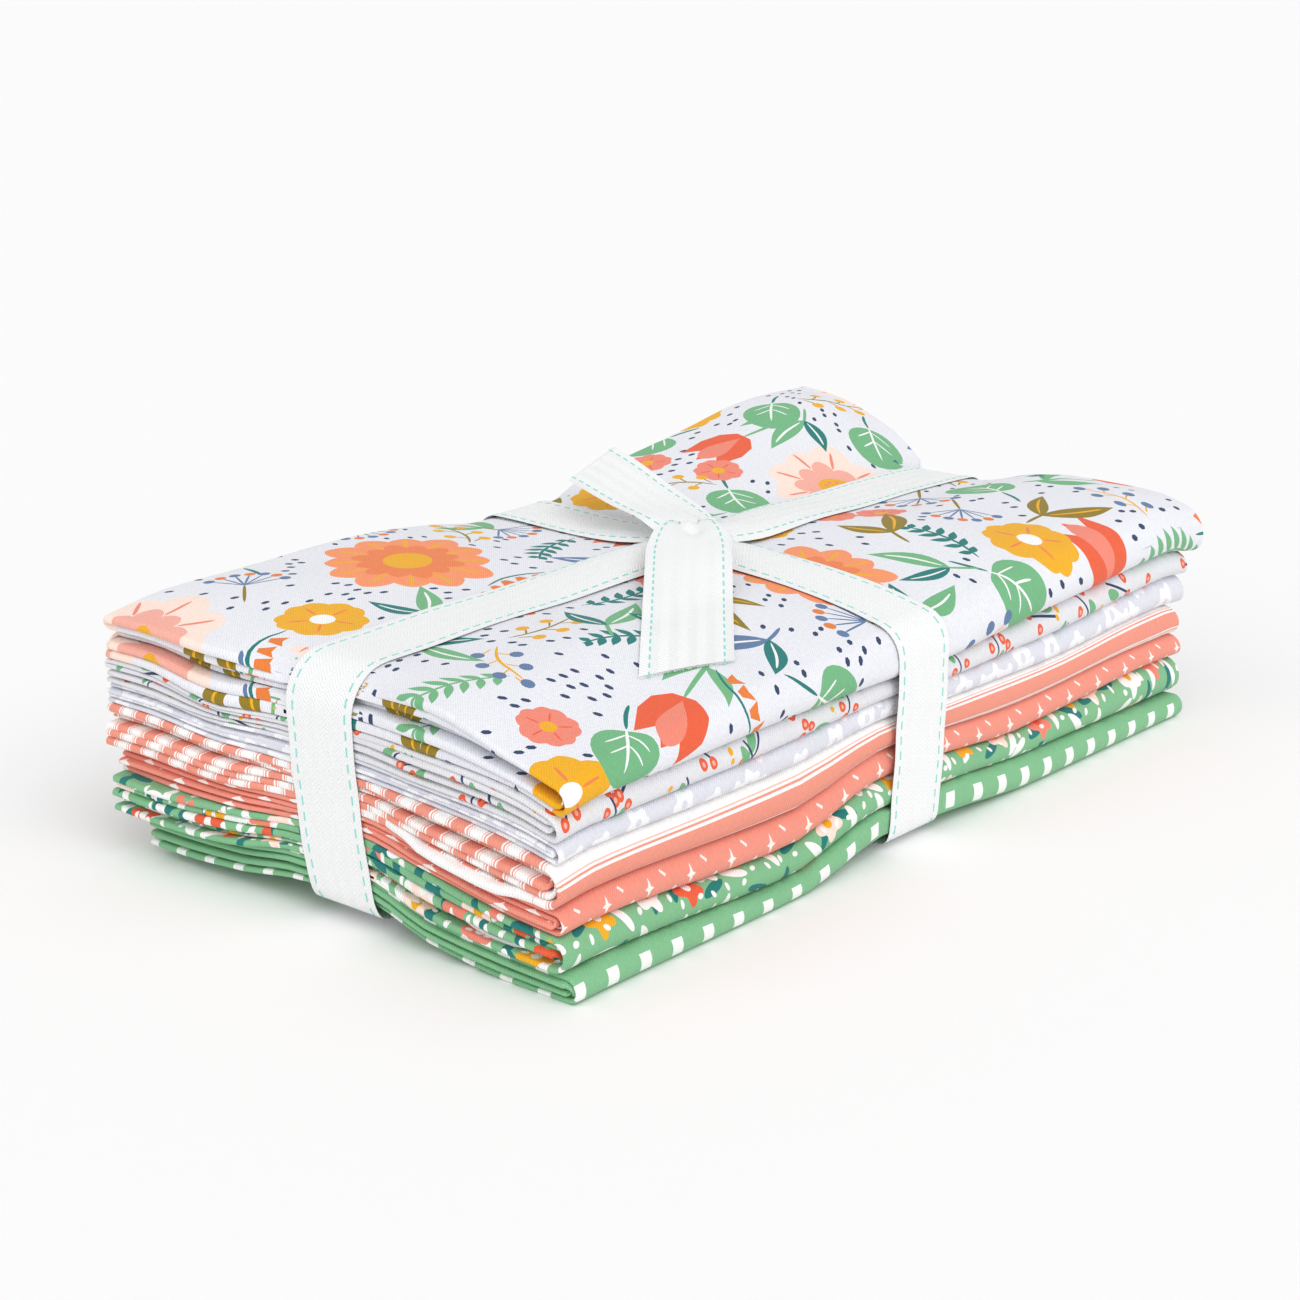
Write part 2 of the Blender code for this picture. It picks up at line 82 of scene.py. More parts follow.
def linear(red: int, green: int, blue: int) -> Colour:
    """Turns a screen colour into the linear one that a shader takes.

    Args:
        red: red from 0 to 255.
        green: green from 0 to 255.
        blue: blue from 0 to 255.

    Returns:
        The same colour in linear light.
    """
    parts = [channel / 255 for channel in (red, green, blue)]
    made = [p / 12.92 if p <= 0.04045 else ((p + 0.055) / 1.055) ** 2.4 for p in parts]
    return made[0], made[1], made[2]


def ease(value: Points, start: float, end: float) -> Points:
    """Rises smoothly from 0 at start to 1 at end.

    Args:
        value: the places to read.
        start: where the rise begins.
        end: where the rise is done.

    Returns:
        The share of the rise at each place.
    """
    share = np.clip((value - start) / (end - start), 0.0, 1.0)
    return share * share * (3 - 2 * share)


def monotone(lines: Points, values: Points, at: Points) -> Points:
    """Reads a smooth curve through table values that never overshoots them.

    Args:
        lines: the places of the table's lines, rising.
        values: one row of values for each line, a column for each point.
        at: the place to read in each column.

    Returns:
        One value for each point.
    """
    span = np.diff(lines)[:, None]
    slope = np.diff(values, axis=0) / span
    tangent = np.zeros_like(values)
    before, after = slope[:-1], slope[1:]
    first, second = 2 * span[1:] + span[:-1], span[1:] + 2 * span[:-1]
    agree = before * after > 0
    safe_before, safe_after = np.where(agree, before, 1.0), np.where(agree, after, 1.0)
    blend = (first + second) / (first / safe_before + second / safe_after)
    tangent[1:-1] = np.where(agree, blend, 0.0)
    tangent[0], tangent[-1] = slope[0], slope[-1]
    index = np.clip(np.searchsorted(lines, at, side="right") - 1, 0, len(lines) - 2)
    column = np.arange(values.shape[1])
    width = lines[index + 1] - lines[index]
    t = (at - lines[index]) / width
    inside = np.clip(t, 0.0, 1.0)
    low, high = values[index, column], values[index + 1, column]
    rise_low, rise_high = tangent[index, column] * width, tangent[index + 1, column] * width
    t2, t3 = inside**2, inside**3
    curve = (2 * t3 - 3 * t2 + 1) * low + (t3 - 2 * t2 + inside) * rise_low
    curve += (3 * t2 - 2 * t3) * high + (t3 - t2) * rise_high
    return curve + (t - inside) * np.where(t < 0, rise_low, rise_high)


@dataclass
class Ripple:
    """A smooth uneven field, made of a few waves that cross.

    Attributes:
        seed: the fixed start of its random waves.
        length: the shortest wave's length in metres.
        waves: how many waves cross.
    """

    seed: int
    length: float
    waves: int = 6

    def __post_init__(self) -> None:
        """Draws the waves' headings, lengths and starts."""
        chance = np.random.default_rng(self.seed)
        heading = chance.uniform(0, math.tau, self.waves)
        rate = math.tau / (self.length * chance.uniform(1.0, 2.6, self.waves))
        self.rates = np.stack([np.cos(heading) * rate, np.sin(heading) * rate])
        self.starts = chance.uniform(0, math.tau, self.waves)

    def at(self, x: Points, y: Points) -> Points:
        """Reads the field.

        Args:
            x: places along the first axis.
            y: places along the second axis.

        Returns:
            Values from about -1 to 1.
        """
        total = np.zeros(np.broadcast(x, y).shape)
        for rate_x, rate_y, start in zip(*self.rates, self.starts):
            total += np.sin(rate_x * x + rate_y * y + start)
        return total / math.sqrt(self.waves)


class End(Enum):
    """Which end of a cut shows its selvages, and which its double folds."""

    SELVAGES_LEFT = "selvages at the left end"
    SELVAGES_RIGHT = "selvages at the right end"


@dataclass
class Stack:
    """The height levels of the stack and the lines that its tie draws across it.

    Attributes:
        half_length: half the length between the fold lines.
        half_width: half the width between the fold lines.
        u_lines: drawing lines across X, as shares of half the length.
        v_lines: drawing lines across Y, as shares of half the width.
        top_rows: heights of the top in millimetres on the inner lines, from the front to the back.
        under_rows: heights of the underside in the same places.
        end_roll: how far the top rolls down past the inner lines at both ends.
        front_roll: the same at the front.
        back_roll: the same at the back.
        raised_corner: how far the back right corner stands up past its rolls.
        tie_left: where the long wrap crosses the left end, off the middle.
        tie_knot: where the knot lies.
        tie_right: where the long wrap crosses the right end.
        tie_front: where the short wrap crosses the front.
        tie_back: where the short wrap crosses the back.
        ripple: how far the cloth between two cuts waves up and down.
        shares: for each cut from the top down, its share in hundredths of the stack's height
            on the inner lines at the left end, on those at the front, and at the far corner.
    """

    half_length: float = 140.5 * MM
    half_width: float = 76 * MM
    u_lines: tuple[float, ...] = (-1.0, -0.93, -0.4, -0.105, 0.105, 0.4, 0.93, 1.0)
    v_lines: tuple[float, ...] = (-1.0, -0.8, -0.45, -0.16, 0.16, 0.45, 0.8, 1.0)
    top_rows: tuple[tuple[float, ...], ...] = (
        (58.5, 62.0, 62.5, 63.0, 66.5, 69.0),
        (65.5, 67.5, 66.5, 66.5, 69.0, 70.0),
        (65.5, 67.0, 67.5, 67.5, 67.0, 65.0),
        (65.5, 67.0, 67.5, 67.5, 67.0, 64.5),
        (67.0, 69.0, 67.0, 67.5, 71.5, 75.8),
        (69.2, 70.2, 67.0, 67.9, 74.2, 84.2),
    )
    under_rows: tuple[tuple[float, ...], ...] = (
        (0.0, 0.0, 5.7, 3.6, 0.0, 0.0),
        (2.5, 2.6, 5.2, 4.4, 0.0, 0.0),
        (8.0, 5.2, 4.9, 4.7, 4.5, 6.0),
        (7.2, 5.0, 4.8, 4.7, 4.6, 6.5),
        (4.2, 1.5, 5.0, 5.0, 0.0, 0.0),
        (2.8, 0.0, 6.0, 6.0, 0.0, 0.0),
    )
    end_roll: float = 1.5 * MM
    front_roll: float = 4.5 * MM
    back_roll: float = 0.3 * MM
    raised_corner: float = 1.2 * MM
    tie_left: float = 3.0 * MM
    tie_knot: Vector = field(default_factory=lambda: Vector((-3.5 * MM, 2.0 * MM, 0.0)))
    tie_right: float = 10.0 * MM
    tie_front: float = -3.0 * MM
    tie_back: float = 1.0 * MM
    ripple: float = 0.35 * MM
    shares: tuple[tuple[tuple[float, ...], tuple[float, ...], float], ...] = (
        ((14.5, 21.5, 21.6, 24.5, 24.0, 19.0), (14.5, 19.6, 22.7, 23.9, 22.6, 20.8), 18.0),
        ((13.6, 11.8, 12.5, 8.8, 8.0, 11.0), (13.6, 11.8, 9.2, 9.6, 13.0, 11.4), 13.0),
        ((10.0, 8.6, 9.2, 11.5, 9.5, 7.6), (10.0, 11.9, 11.6, 11.6, 10.9, 14.8), 14.0),
        ((19.0, 17.1, 16.5, 16.4, 16.6, 18.9), (19.0, 19.9, 15.8, 13.6, 14.3, 12.9), 13.5),
        ((12.3, 8.6, 9.6, 8.9, 10.5, 12.5), (12.3, 14.6, 13.4, 13.8, 13.0, 11.0), 13.0),
        ((17.0, 20.2, 18.1, 16.0, 16.9, 15.6), (17.0, 12.5, 14.3, 12.9, 11.8, 17.9), 15.0),
        ((13.6, 12.2, 12.5, 13.9, 14.5, 15.4), (13.6, 9.7, 13.0, 14.6, 14.4, 11.2), 13.5),
    )

    def __post_init__(self) -> None:
        """Works out the height of every level on the drawing lines."""
        count = len(self.shares)
        self.ripples = [Ripple(60 + level, 42 * MM) for level in range(count)]
        self.u_places = np.array(self.u_lines) * self.half_length
        self.v_places = np.array(self.v_lines) * self.half_width
        self.levels = np.zeros((count + 1, len(self.u_lines), len(self.v_lines)))
        for place in np.ndindex(self.levels.shape):
            self.levels[place] = self.line_height(*place)

    def share_above(self, level: int, i: int, j: int) -> float:
        """The share of the stack's height above a level, where inner lines i and j cross.

        Args:
            level: the level.
            i: the inner line across X, from the left.
            j: the inner line across Y, from the front.

        Returns:
            A share from 0 to 1.
        """
        us, vs = self.u_lines, self.v_lines
        right = (us[i + 1] - us[1]) / (us[-2] - us[1])
        back = (vs[j + 1] - vs[1]) / (vs[-2] - vs[1])
        total = 0.0
        for end, side, corner in self.shares[:level]:
            total += (1 - right) * end[j] + (1 - back) * side[i]
            total += right * back * corner - (1 - right) * (1 - back) * end[0]
        return total / 100

    def line_height(self, level: int, column: int, row: int) -> float:
        """Height of a level where two drawing lines cross.

        Args:
            level: the level.
            column: the drawing line across X.
            row: the drawing line across Y.

        Returns:
            The height in metres.
        """
        i = min(max(column, 1), len(self.u_lines) - 2)
        j = min(max(row, 1), len(self.v_lines) - 2)
        top, under = self.top_rows[j - 1][i - 1] * MM, self.under_rows[j - 1][i - 1] * MM
        if level == len(self.shares):
            return under
        edge_roll = self.front_roll if row < j else self.back_roll
        fall = self.end_roll * abs(column - i) + edge_roll * abs(row - j)
        if column > i and row > j:
            fall -= self.raised_corner
        share = self.share_above(level, i - 1, j - 1)
        return top + (under - top) * share - fall * (1 - level / len(self.shares))

    def height(self, level: int, u: Points, v: Points) -> Points:
        """Height of a level at drawing points.

        Args:
            level: 0 for the top of the stack, up to the number of cuts for its underside.
            u: places along X before the tie draws them aside.
            v: places along Y before the tie draws them aside.

        Returns:
            A height for each point.
        """
        shape = np.broadcast(u, v).shape
        flat_u, flat_v = np.broadcast_to(u, shape).ravel(), np.broadcast_to(v, shape).ravel()
        table = self.levels[level]
        rows = [
            monotone(self.u_places, np.repeat(table[:, j : j + 1], flat_u.size, axis=1), flat_u)
            for j in range(len(self.v_lines))
        ]
        made = monotone(self.v_places, np.array(rows), flat_v)
        if level < len(self.ripples):
            made = made + self.ripples[level].at(flat_u, flat_v) * self.ripple
        return made.reshape(shape)

    def tie_y(self, x: Points) -> Points:
        """Where the long wrap's middle lies across Y, at places along X.

        Args:
            x: places along X.

        Returns:
            A place along Y for each.
        """
        share = x / self.half_length
        side = np.where(share < 0, self.tie_left, self.tie_right)
        return self.tie_knot.y + (side - self.tie_knot.y) * np.abs(share)

    def tie_x(self, y: Points) -> Points:
        """Where the short wrap's middle lies across X, at places along Y.

        Args:
            y: places along Y.

        Returns:
            A place along X for each.
        """
        share = y / self.half_width
        side = np.where(share < 0, self.tie_front, self.tie_back)
        return self.tie_knot.x + (side - self.tie_knot.x) * np.abs(share)

    def plan(self, u: Points, v: Points) -> tuple[Points, Points]:
        """Where drawing points lie in plan once the tie draws their lines aside.

        Args:
            u: places along X before the tie draws them aside.
            v: places along Y before the tie draws them aside.

        Returns:
            The places along X and along Y.
        """
        a, b = u / self.half_length, v / self.half_width
        shift_x = self.tie_x(v) * np.maximum(1 - np.abs(a), 0)
        shift_y = self.tie_y(u) * np.maximum(1 - np.abs(b), 0)
        return u + shift_x, v + shift_y

    def top_at(self, x: Points, y: Points) -> Points:
        """Height of the top of the stack at places in plan.

        Args:
            x: places along X.
            y: places along Y.

        Returns:
            A height for each place.
        """
        u, v = np.array(x, dtype=float), np.array(y, dtype=float)
        for _ in range(4):
            plan_x, plan_y = self.plan(u, v)
            u, v = u + x - plan_x, v + y - plan_y
        return self.height(0, u, v)


@dataclass
class Wrap:
    """The closed course of one wrap of the ribbon round the stack.

    Attributes:
        stack: the stack that it ties.
        along_x: whether it runs along X.
        low_side: where its inner face stands at the low end of its run.
        high_side: the same at the high end.
        low_radius: radius of its bend over the top edge at the low end.
        high_radius: the same at the high end.
        foot_radius: radius of its bends under the bottom edges.
        low_lean: how far its middle has moved aside by the bottom at the low end.
        high_lean: the same at the high end.
        under: height of its inner face under the stack, at its low end, middle and high end.
        hold_ends: how far from its middle it stops drawing the cloth in, at its low and high end.
        full_hold: how far from its middle it draws the cloth in fully.
        room: room between its inner face and the cloth.
    """

    stack: Stack
    along_x: bool
    low_side: float
    high_side: float
    low_radius: float
    high_radius: float
    foot_radius: float
    low_lean: float
    high_lean: float
    under: tuple[float, float, float]
    hold_ends: tuple[float, float] = (32 * MM, 32 * MM)
    full_hold: float = 13.5 * MM
    room: float = 0.25 * MM

    def middle(self, place: Points) -> Points:
        """Where its middle lies on top, across its run."""
        return self.stack.tie_y(place) if self.along_x else self.stack.tie_x(place)

    def top(self, place: Points, across: Points) -> Points:
        """Height of the cloth under it on top, at places along and across its run.

        Args:
            place: places along its run.
            across: places across its run.

        Returns:
            A height for each place.
        """
        if self.along_x:
            return self.stack.top_at(place, across)
        return self.stack.top_at(across, place)

    def bottom(self, place: Points) -> Points:
        """Height of its inner face under the stack."""
        return np.interp(place, [self.low_side, 0.0, self.high_side], self.under)

    def squeeze(self, points: Points) -> Points:
        """Draws cloth that would stand outside the wrap back inside it, and its neighbours after it.

        Args:
            points: cloth points, one row each.

        Returns:
            The points with the wrap drawn tight.
        """
        run, side = (0, 1) if self.along_x else (1, 0)
        made = points.copy()
        for sign, edge, radius, lean, hold_end in (
            (-1.0, self.low_side, self.low_radius, self.low_lean, self.hold_ends[0]),
            (1.0, self.high_side, self.high_radius, self.high_lean, self.hold_ends[1]),
        ):
            place, across, z = made[:, run], made[:, side], made[:, 2]
            centre = edge - sign * radius
            near = (place - centre) * sign > 0
            if not near.any():
                continue
            middle = self.middle(np.array([edge]))[0]
            top = self.top(np.full(1, centre), np.full(1, middle))[0] + 0.1 * MM
            foot = self.bottom(np.array([edge]))[0]
            fall = np.clip((top - z) / (top - foot), 0.0, 1.0)
            off = np.abs(across - (middle + lean * fall**2))
            hold = 1 - ease(off, self.full_hold, hold_end)
            reach, rise = (place - centre) * sign, z - (top - radius)
            distance = np.hypot(reach, np.maximum(rise, 0))
            excess = np.maximum(distance - radius + self.room, 0.0)
            safe = np.maximum(distance, 1e-9)
            high = rise > 0
            new_reach = reach - np.where(high, reach / safe * excess, np.maximum(reach - radius, 0))
            new_z = z - np.where(high, rise / safe * excess, 0.0)
            pull = np.where(near, hold, 0.0)
            made[:, run] = place + (centre + new_reach * sign - place) * pull
            made[:, 2] = z + (new_z - z) * pull
        return made


@dataclass
class Course:
    """A ribbon's surface as a grid of points: along its run, across its width.

    Attributes:
        grid: the points, one row for each place along the run.
        width: the ribbon's width.
    """

    grid: Points
    width: float

    def along(self) -> Points:
        """Distance along the middle of the run, for each row.

        Returns:
            The distances in metres, from 0.
        """
        middle = self.grid[:, self.grid.shape[1] // 2]
        steps = np.linalg.norm(np.diff(middle, axis=0), axis=1)
        return np.concatenate([[0.0], np.cumsum(steps)])

    def normals(self) -> Points:
        """The direction out of the ribbon's face at each point.

        Returns:
            A grid of unit vectors.
        """
        along = np.gradient(self.grid, axis=0)
        across = np.gradient(self.grid, axis=1)
        made = np.cross(along, across)
        return made / np.maximum(np.linalg.norm(made, axis=2, keepdims=True), 1e-12)


def smooth_rows(grid: Points, rounds: int) -> Points:
    """Evens a grid along its rows, with its two ends held.

    Args:
        grid: the points, one row for each place along the run.
        rounds: how often it is evened.

    Returns:
        The evened grid.
    """
    made = grid.copy()
    for _ in range(rounds):
        made[1:-1] = made[1:-1] * 0.5 + (made[:-2] + made[2:]) * 0.25
    return made


def mesh_object(name: str, points: Points, faces: list) -> bpy.types.Object:
    """Makes an object at the origin from points and faces.

    Args:
        name: the object's name.
        points: one row for each corner.
        faces: tuples of corner numbers.

    Returns:
        The object, linked to the scene.
    """
    mesh = bpy.data.meshes.new(name)
    mesh.from_pydata(np.asarray(points).tolist(), [], faces)
    mesh.polygons.foreach_set("use_smooth", [True] * len(mesh.polygons))
    mesh.update()
    thing = bpy.data.objects.new(name, mesh)
    bpy.context.scene.collection.objects.link(thing)
    return thing


def grid_faces(rows: int, columns: int) -> list[tuple[int, int, int, int]]:
    """The quads of a grid of points.

    Args:
        rows: how many rows of points there are.
        columns: how many points are in a row.

    Returns:
        The corner numbers of each quad.
    """
    return [
        (r * columns + c, r * columns + c + 1, (r + 1) * columns + c + 1, (r + 1) * columns + c)
        for r in range(rows - 1)
        for c in range(columns - 1)
    ]


def lay_maps(thing: bpy.types.Object, flat: Points, size: tuple[float, float]) -> None:
    """Gives a sheet its flat pattern in metres, and the same pattern filling a square for its export.

    Args:
        thing: the sheet.
        flat: the flat place of each corner of the mesh, in metres.
        size: the flat size.
    """
    mesh = thing.data
    corner = np.empty(len(mesh.loops), dtype=np.int32)
    mesh.loops.foreach_get("vertex_index", corner)
    cloth = mesh.uv_layers.new(name="cloth")
    cloth.data.foreach_set("uv", flat[corner].ravel())
    share = flat[corner] / np.array(size)
    bake = mesh.uv_layers.new(name="OFBake")
    bake.data.foreach_set("uv", (0.002 + 0.996 * np.clip(share, 0, 1)).ravel())
    mesh.uv_layers.active = cloth


def operation(kind: str) -> Callable[..., Value]:
    """Makes a method of Value that adds a Math node of one kind."""
    return lambda value, *others: value.math(kind, *others)


class Value:
    """A number that varies over a surface, with the arithmetic of a material's Math nodes."""

    __add__, __sub__, __mul__, __truediv__ = map(operation, ("ADD", "SUBTRACT", "MULTIPLY", "DIVIDE"))
    __lt__, __gt__, __abs__ = map(operation, ("LESS_THAN", "GREATER_THAN", "ABSOLUTE"))
    floor, cosine, sine = map(operation, ("FLOOR", "COSINE", "SINE"))
    least, most = map(operation, ("MINIMUM", "MAXIMUM"))

    def __init__(self, graph: Graph, socket: bpy.types.NodeSocket) -> None:
        """Wraps a socket of a graph."""
        self.graph = graph
        self.socket = socket

    def math(self, operation: str, *others: Value | float, clamp: bool = False) -> Value:
        """Adds a Math node that starts from this value.

        Args:
            operation: the node's operation.
            others: its further operands.
            clamp: whether the result is kept between 0 and 1.

        Returns:
            The node's result.
        """
        settings = {"operation": operation, "use_clamp": clamp}
        return self.graph.node("ShaderNodeMath", settings, {0: self, **dict(enumerate(others, 1))})

    def __rsub__(self, other: float) -> Value:
        """A number less this value."""
        return (self * -1.0) + other

    def wrap(self, period: float) -> Value:
        """This value from 0 to a period, over and over."""
        return self.math("WRAP", period, 0.0)

    def kept(self) -> Value:
        """This value kept between 0 and 1."""
        return self.math("ADD", 0.0, clamp=True)


class Graph:
    """The node tree of one material."""

    def __init__(self, name: str) -> None:
        """Starts a material with its own Principled shader.

        Args:
            name: the material's name.
        """
        self.material = bpy.data.materials.new(name)
        self.material.use_nodes = True
        self.tree = self.material.node_tree
        self.shader = self.tree.nodes["Principled BSDF"]

    def node(self, kind: str, settings: dict, inputs: dict, output: int | str = 0) -> Value:
        """Adds a node.

        Args:
            kind: the node's type.
            settings: its own settings, set before its sockets.
            inputs: a value, a link or a colour for each socket, by number or name.
            output: the result to hand back.

        Returns:
            That result.
        """
        made = self.tree.nodes.new(kind)
        for key, setting in settings.items():
            setattr(made, key, setting)
        for key, given in inputs.items():
            if isinstance(given, Value):
                self.tree.links.new(given.socket, made.inputs[key])
            else:
                made.inputs[key].default_value = given
        return Value(self, made.outputs[output])

    def steps(self, factor: Value, stops: list[tuple[float, Colour]]) -> Value:
        """Picks a colour by a number: each one from its own place between 0 and 1.

        Args:
            factor: the number.
            stops: each colour with the place that it starts from.

        Returns:
            The colour.
        """
        made = self.tree.nodes.new("ShaderNodeValToRGB")
        made.color_ramp.interpolation = "CONSTANT"
        elements = made.color_ramp.elements
        while len(elements) < len(stops):
            elements.new(1.0)
        for element, (place, colour) in zip(elements, stops):
            element.position = place
            element.color = (*colour, 1.0)
        self.tree.links.new(factor.socket, made.inputs[0])
        return Value(self, made.outputs[0])

    def mix(self, mask: Value, under: Value | Colour, over: Value | Colour) -> Value:
        """Lays one colour over another where a mask is 1.

        Args:
            mask: where the upper colour shows.
            under: the lower colour.
            over: the upper colour.

        Returns:
            The colour that shows.
        """
        colours = [c if isinstance(c, Value) else (*c, 1.0) for c in (under, over)]
        settings = {"data_type": "RGBA", "clamp_factor": True}
        inputs = {"Factor": mask, 6: colours[0], 7: colours[1]}
        return self.node("ShaderNodeMix", settings, inputs, 2)

    def tint(self, colour: Value, strength: Value) -> Value:
        """Makes a colour lighter or darker by a number."""
        both = self.node("ShaderNodeCombineXYZ", {}, {0: strength, 1: strength, 2: strength})
        return self.node("ShaderNodeVectorMath", {"operation": "MULTIPLY"}, {0: colour, 1: both})

    def flat_place(self) -> tuple[Value, Value]:
        """The place in the flat cloth, in millimetres along its width and its length.

        Returns:
            The place along its width and the place along its length.
        """
        place = self.node("ShaderNodeUVMap", {"uv_map": "cloth"}, {})
        parts = self.tree.nodes.new("ShaderNodeSeparateXYZ")
        self.tree.links.new(place.socket, parts.inputs[0])
        return Value(self, parts.outputs[0]) * 1000.0, Value(self, parts.outputs[1]) * 1000.0

    def join(self, x: Value | float, y: Value | float, z: Value | float = 0.0) -> Value:
        """One vector from three numbers."""
        return self.node("ShaderNodeCombineXYZ", {}, {0: x, 1: y, 2: z})

    def noise(self, x: Value, y: Value, scale: float, detail: float = 2.0) -> Value:
        """Soft noise from 0 to 1, of a scale in turns for each millimetre.

        Args:
            x: the place along the first axis.
            y: the place along the second axis.
            scale: its scale.
            detail: how many finer waves it carries.

        Returns:
            The noise.
        """
        inputs = {"Vector": self.join(x, y), "Scale": scale, "Detail": detail, "Roughness": 0.55}
        return self.node("ShaderNodeTexNoise", {"noise_dimensions": "2D"}, inputs, 0)

    def chances(self, x: Value, y: Value, salt: float) -> tuple[Value, Value, Value]:
        """Three random numbers for each cell, from the cell's whole numbers.

        Args:
            x: the cell's number along the first axis.
            y: the same along the second axis.
            salt: tells one scatter from another.

        Returns:
            The three numbers.
        """
        made = self.node("ShaderNodeTexWhiteNoise", {}, {"Vector": self.join(x, y, salt)}, "Color")
        parts = self.tree.nodes.new("ShaderNodeSeparateXYZ")
        self.tree.links.new(made.socket, parts.inputs[0])
        return tuple(Value(self, parts.outputs[i]) for i in range(3))

    def shine(self, sheen: float, spread: float, gloss: float) -> None:
        """Sets what is the same all over the surface: its sheen, the sheen's spread and its gloss.

        Args:
            sheen: how much its fibres catch the light from the side.
            spread: how wide that sheen is.
            gloss: how much the surface mirrors.
        """
        self.shader.inputs["Sheen Weight"].default_value = sheen
        self.shader.inputs["Sheen Roughness"].default_value = spread
        self.shader.inputs["Specular IOR Level"].default_value = gloss

    def finish(self, colour: Value, height: Value, depth: float, roughness: float) -> None:
        """Links the surface to the shader.

        Args:
            colour: its colour.
            height: its fine relief from 0 to 1.
            depth: how deep the relief is, in metres.
            roughness: how dull it is.
        """
        inputs = {"Height": height, "Distance": depth, "Strength": 1.0}
        bump = self.node("ShaderNodeBump", {}, inputs)
        self.tree.links.new(colour.socket, self.shader.inputs["Base Color"])
        self.tree.links.new(bump.socket, self.shader.inputs["Normal"])
        self.shader.inputs["Roughness"].default_value = roughness


@dataclass(frozen=True)
class Cotton:
    """The finish that all the cotton shares: a fine plain weave, printed and slightly uneven.

    Attributes:
        name: the material's name.
        flap: where the unprinted edge hangs out at a fold, in metres, if it does.
        fold: where the fold that shows at the left end lies across the cloth, in metres.
        front: where the fold that shows at the front lies along the cloth, in metres.
        sheen: how much the fibres catch the light from the side.
        thread: threads for each millimetre.
        selvage: width of the white edge in millimetres.
    """

    name: str
    flap: tuple[float, float, float] | None
    fold: float
    front: float
    sheen: float = 0.12
    thread: float = 1.3
    selvage: float = 9.0

    def dress(self, graph: Graph, u: Value, v: Value, print_colour: Value) -> None:
        """Lays the weave and the white selvages over a print and links it all up.

        Args:
            graph: the material's graph.
            u: place across the cloth in millimetres.
            v: place along the cloth in millimetres.
            print_colour: the printed colour.
        """
        mottle = graph.noise(u, v, 0.9, 3.0)
        broad = graph.noise(u, v, 0.03, 2.0)
        warp = (u * (math.tau * self.thread)).sine()
        weft = (v * (math.tau * self.thread)).sine()
        weave = warp * weft * 0.5 + 0.5
        strength = mottle * 0.15 + broad * 0.04 + weave * 0.22 + 0.79
        from_edge = u.least(CUT[0] * 1000 - u)
        fray = graph.noise(u, v, 0.35, 2.0) * 1.6
        selvage = (from_edge - fray) < self.selvage
        if self.flap is not None:
            fold, start, stop = (value * 1000 for value in self.flap)
            near = abs(u - fold) < (fray * 0.8 + 2.6)
            selvage = selvage.most(near * (v > start) * (v < (fray + (stop - 1.0))))
        shown = graph.mix(selvage, print_colour, linear(246, 246, 245))
        shown = graph.tint(shown, strength)
        graph.shine(self.sheen, 0.5, 0.25)
        relief = mottle * 0.6 + weave * 0.4
        graph.finish(shown, relief, 0.22 * MM, 0.92)


@dataclass(frozen=True)
class Palette:
    """The printed colours."""

    ground: Colour = linear(234, 235, 241)
    peach: Colour = linear(250, 152, 104)
    pink: Colour = linear(253, 228, 215)
    coral: Colour = linear(240, 138, 118)
    red: Colour = linear(235, 98, 62)
    mustard: Colour = linear(240, 176, 32)
    green: Colour = linear(116, 182, 132)
    teal: Colour = linear(32, 124, 120)
    slate: Colour = linear(98, 126, 166)
    navy: Colour = linear(48, 66, 102)
    olive: Colour = linear(146, 124, 34)
    white: Colour = linear(248, 248, 246)
    blush: Colour = linear(246, 176, 160)
    ember: Colour = linear(232, 128, 60)
    amber: Colour = linear(240, 132, 78)


PALETTE = Palette()


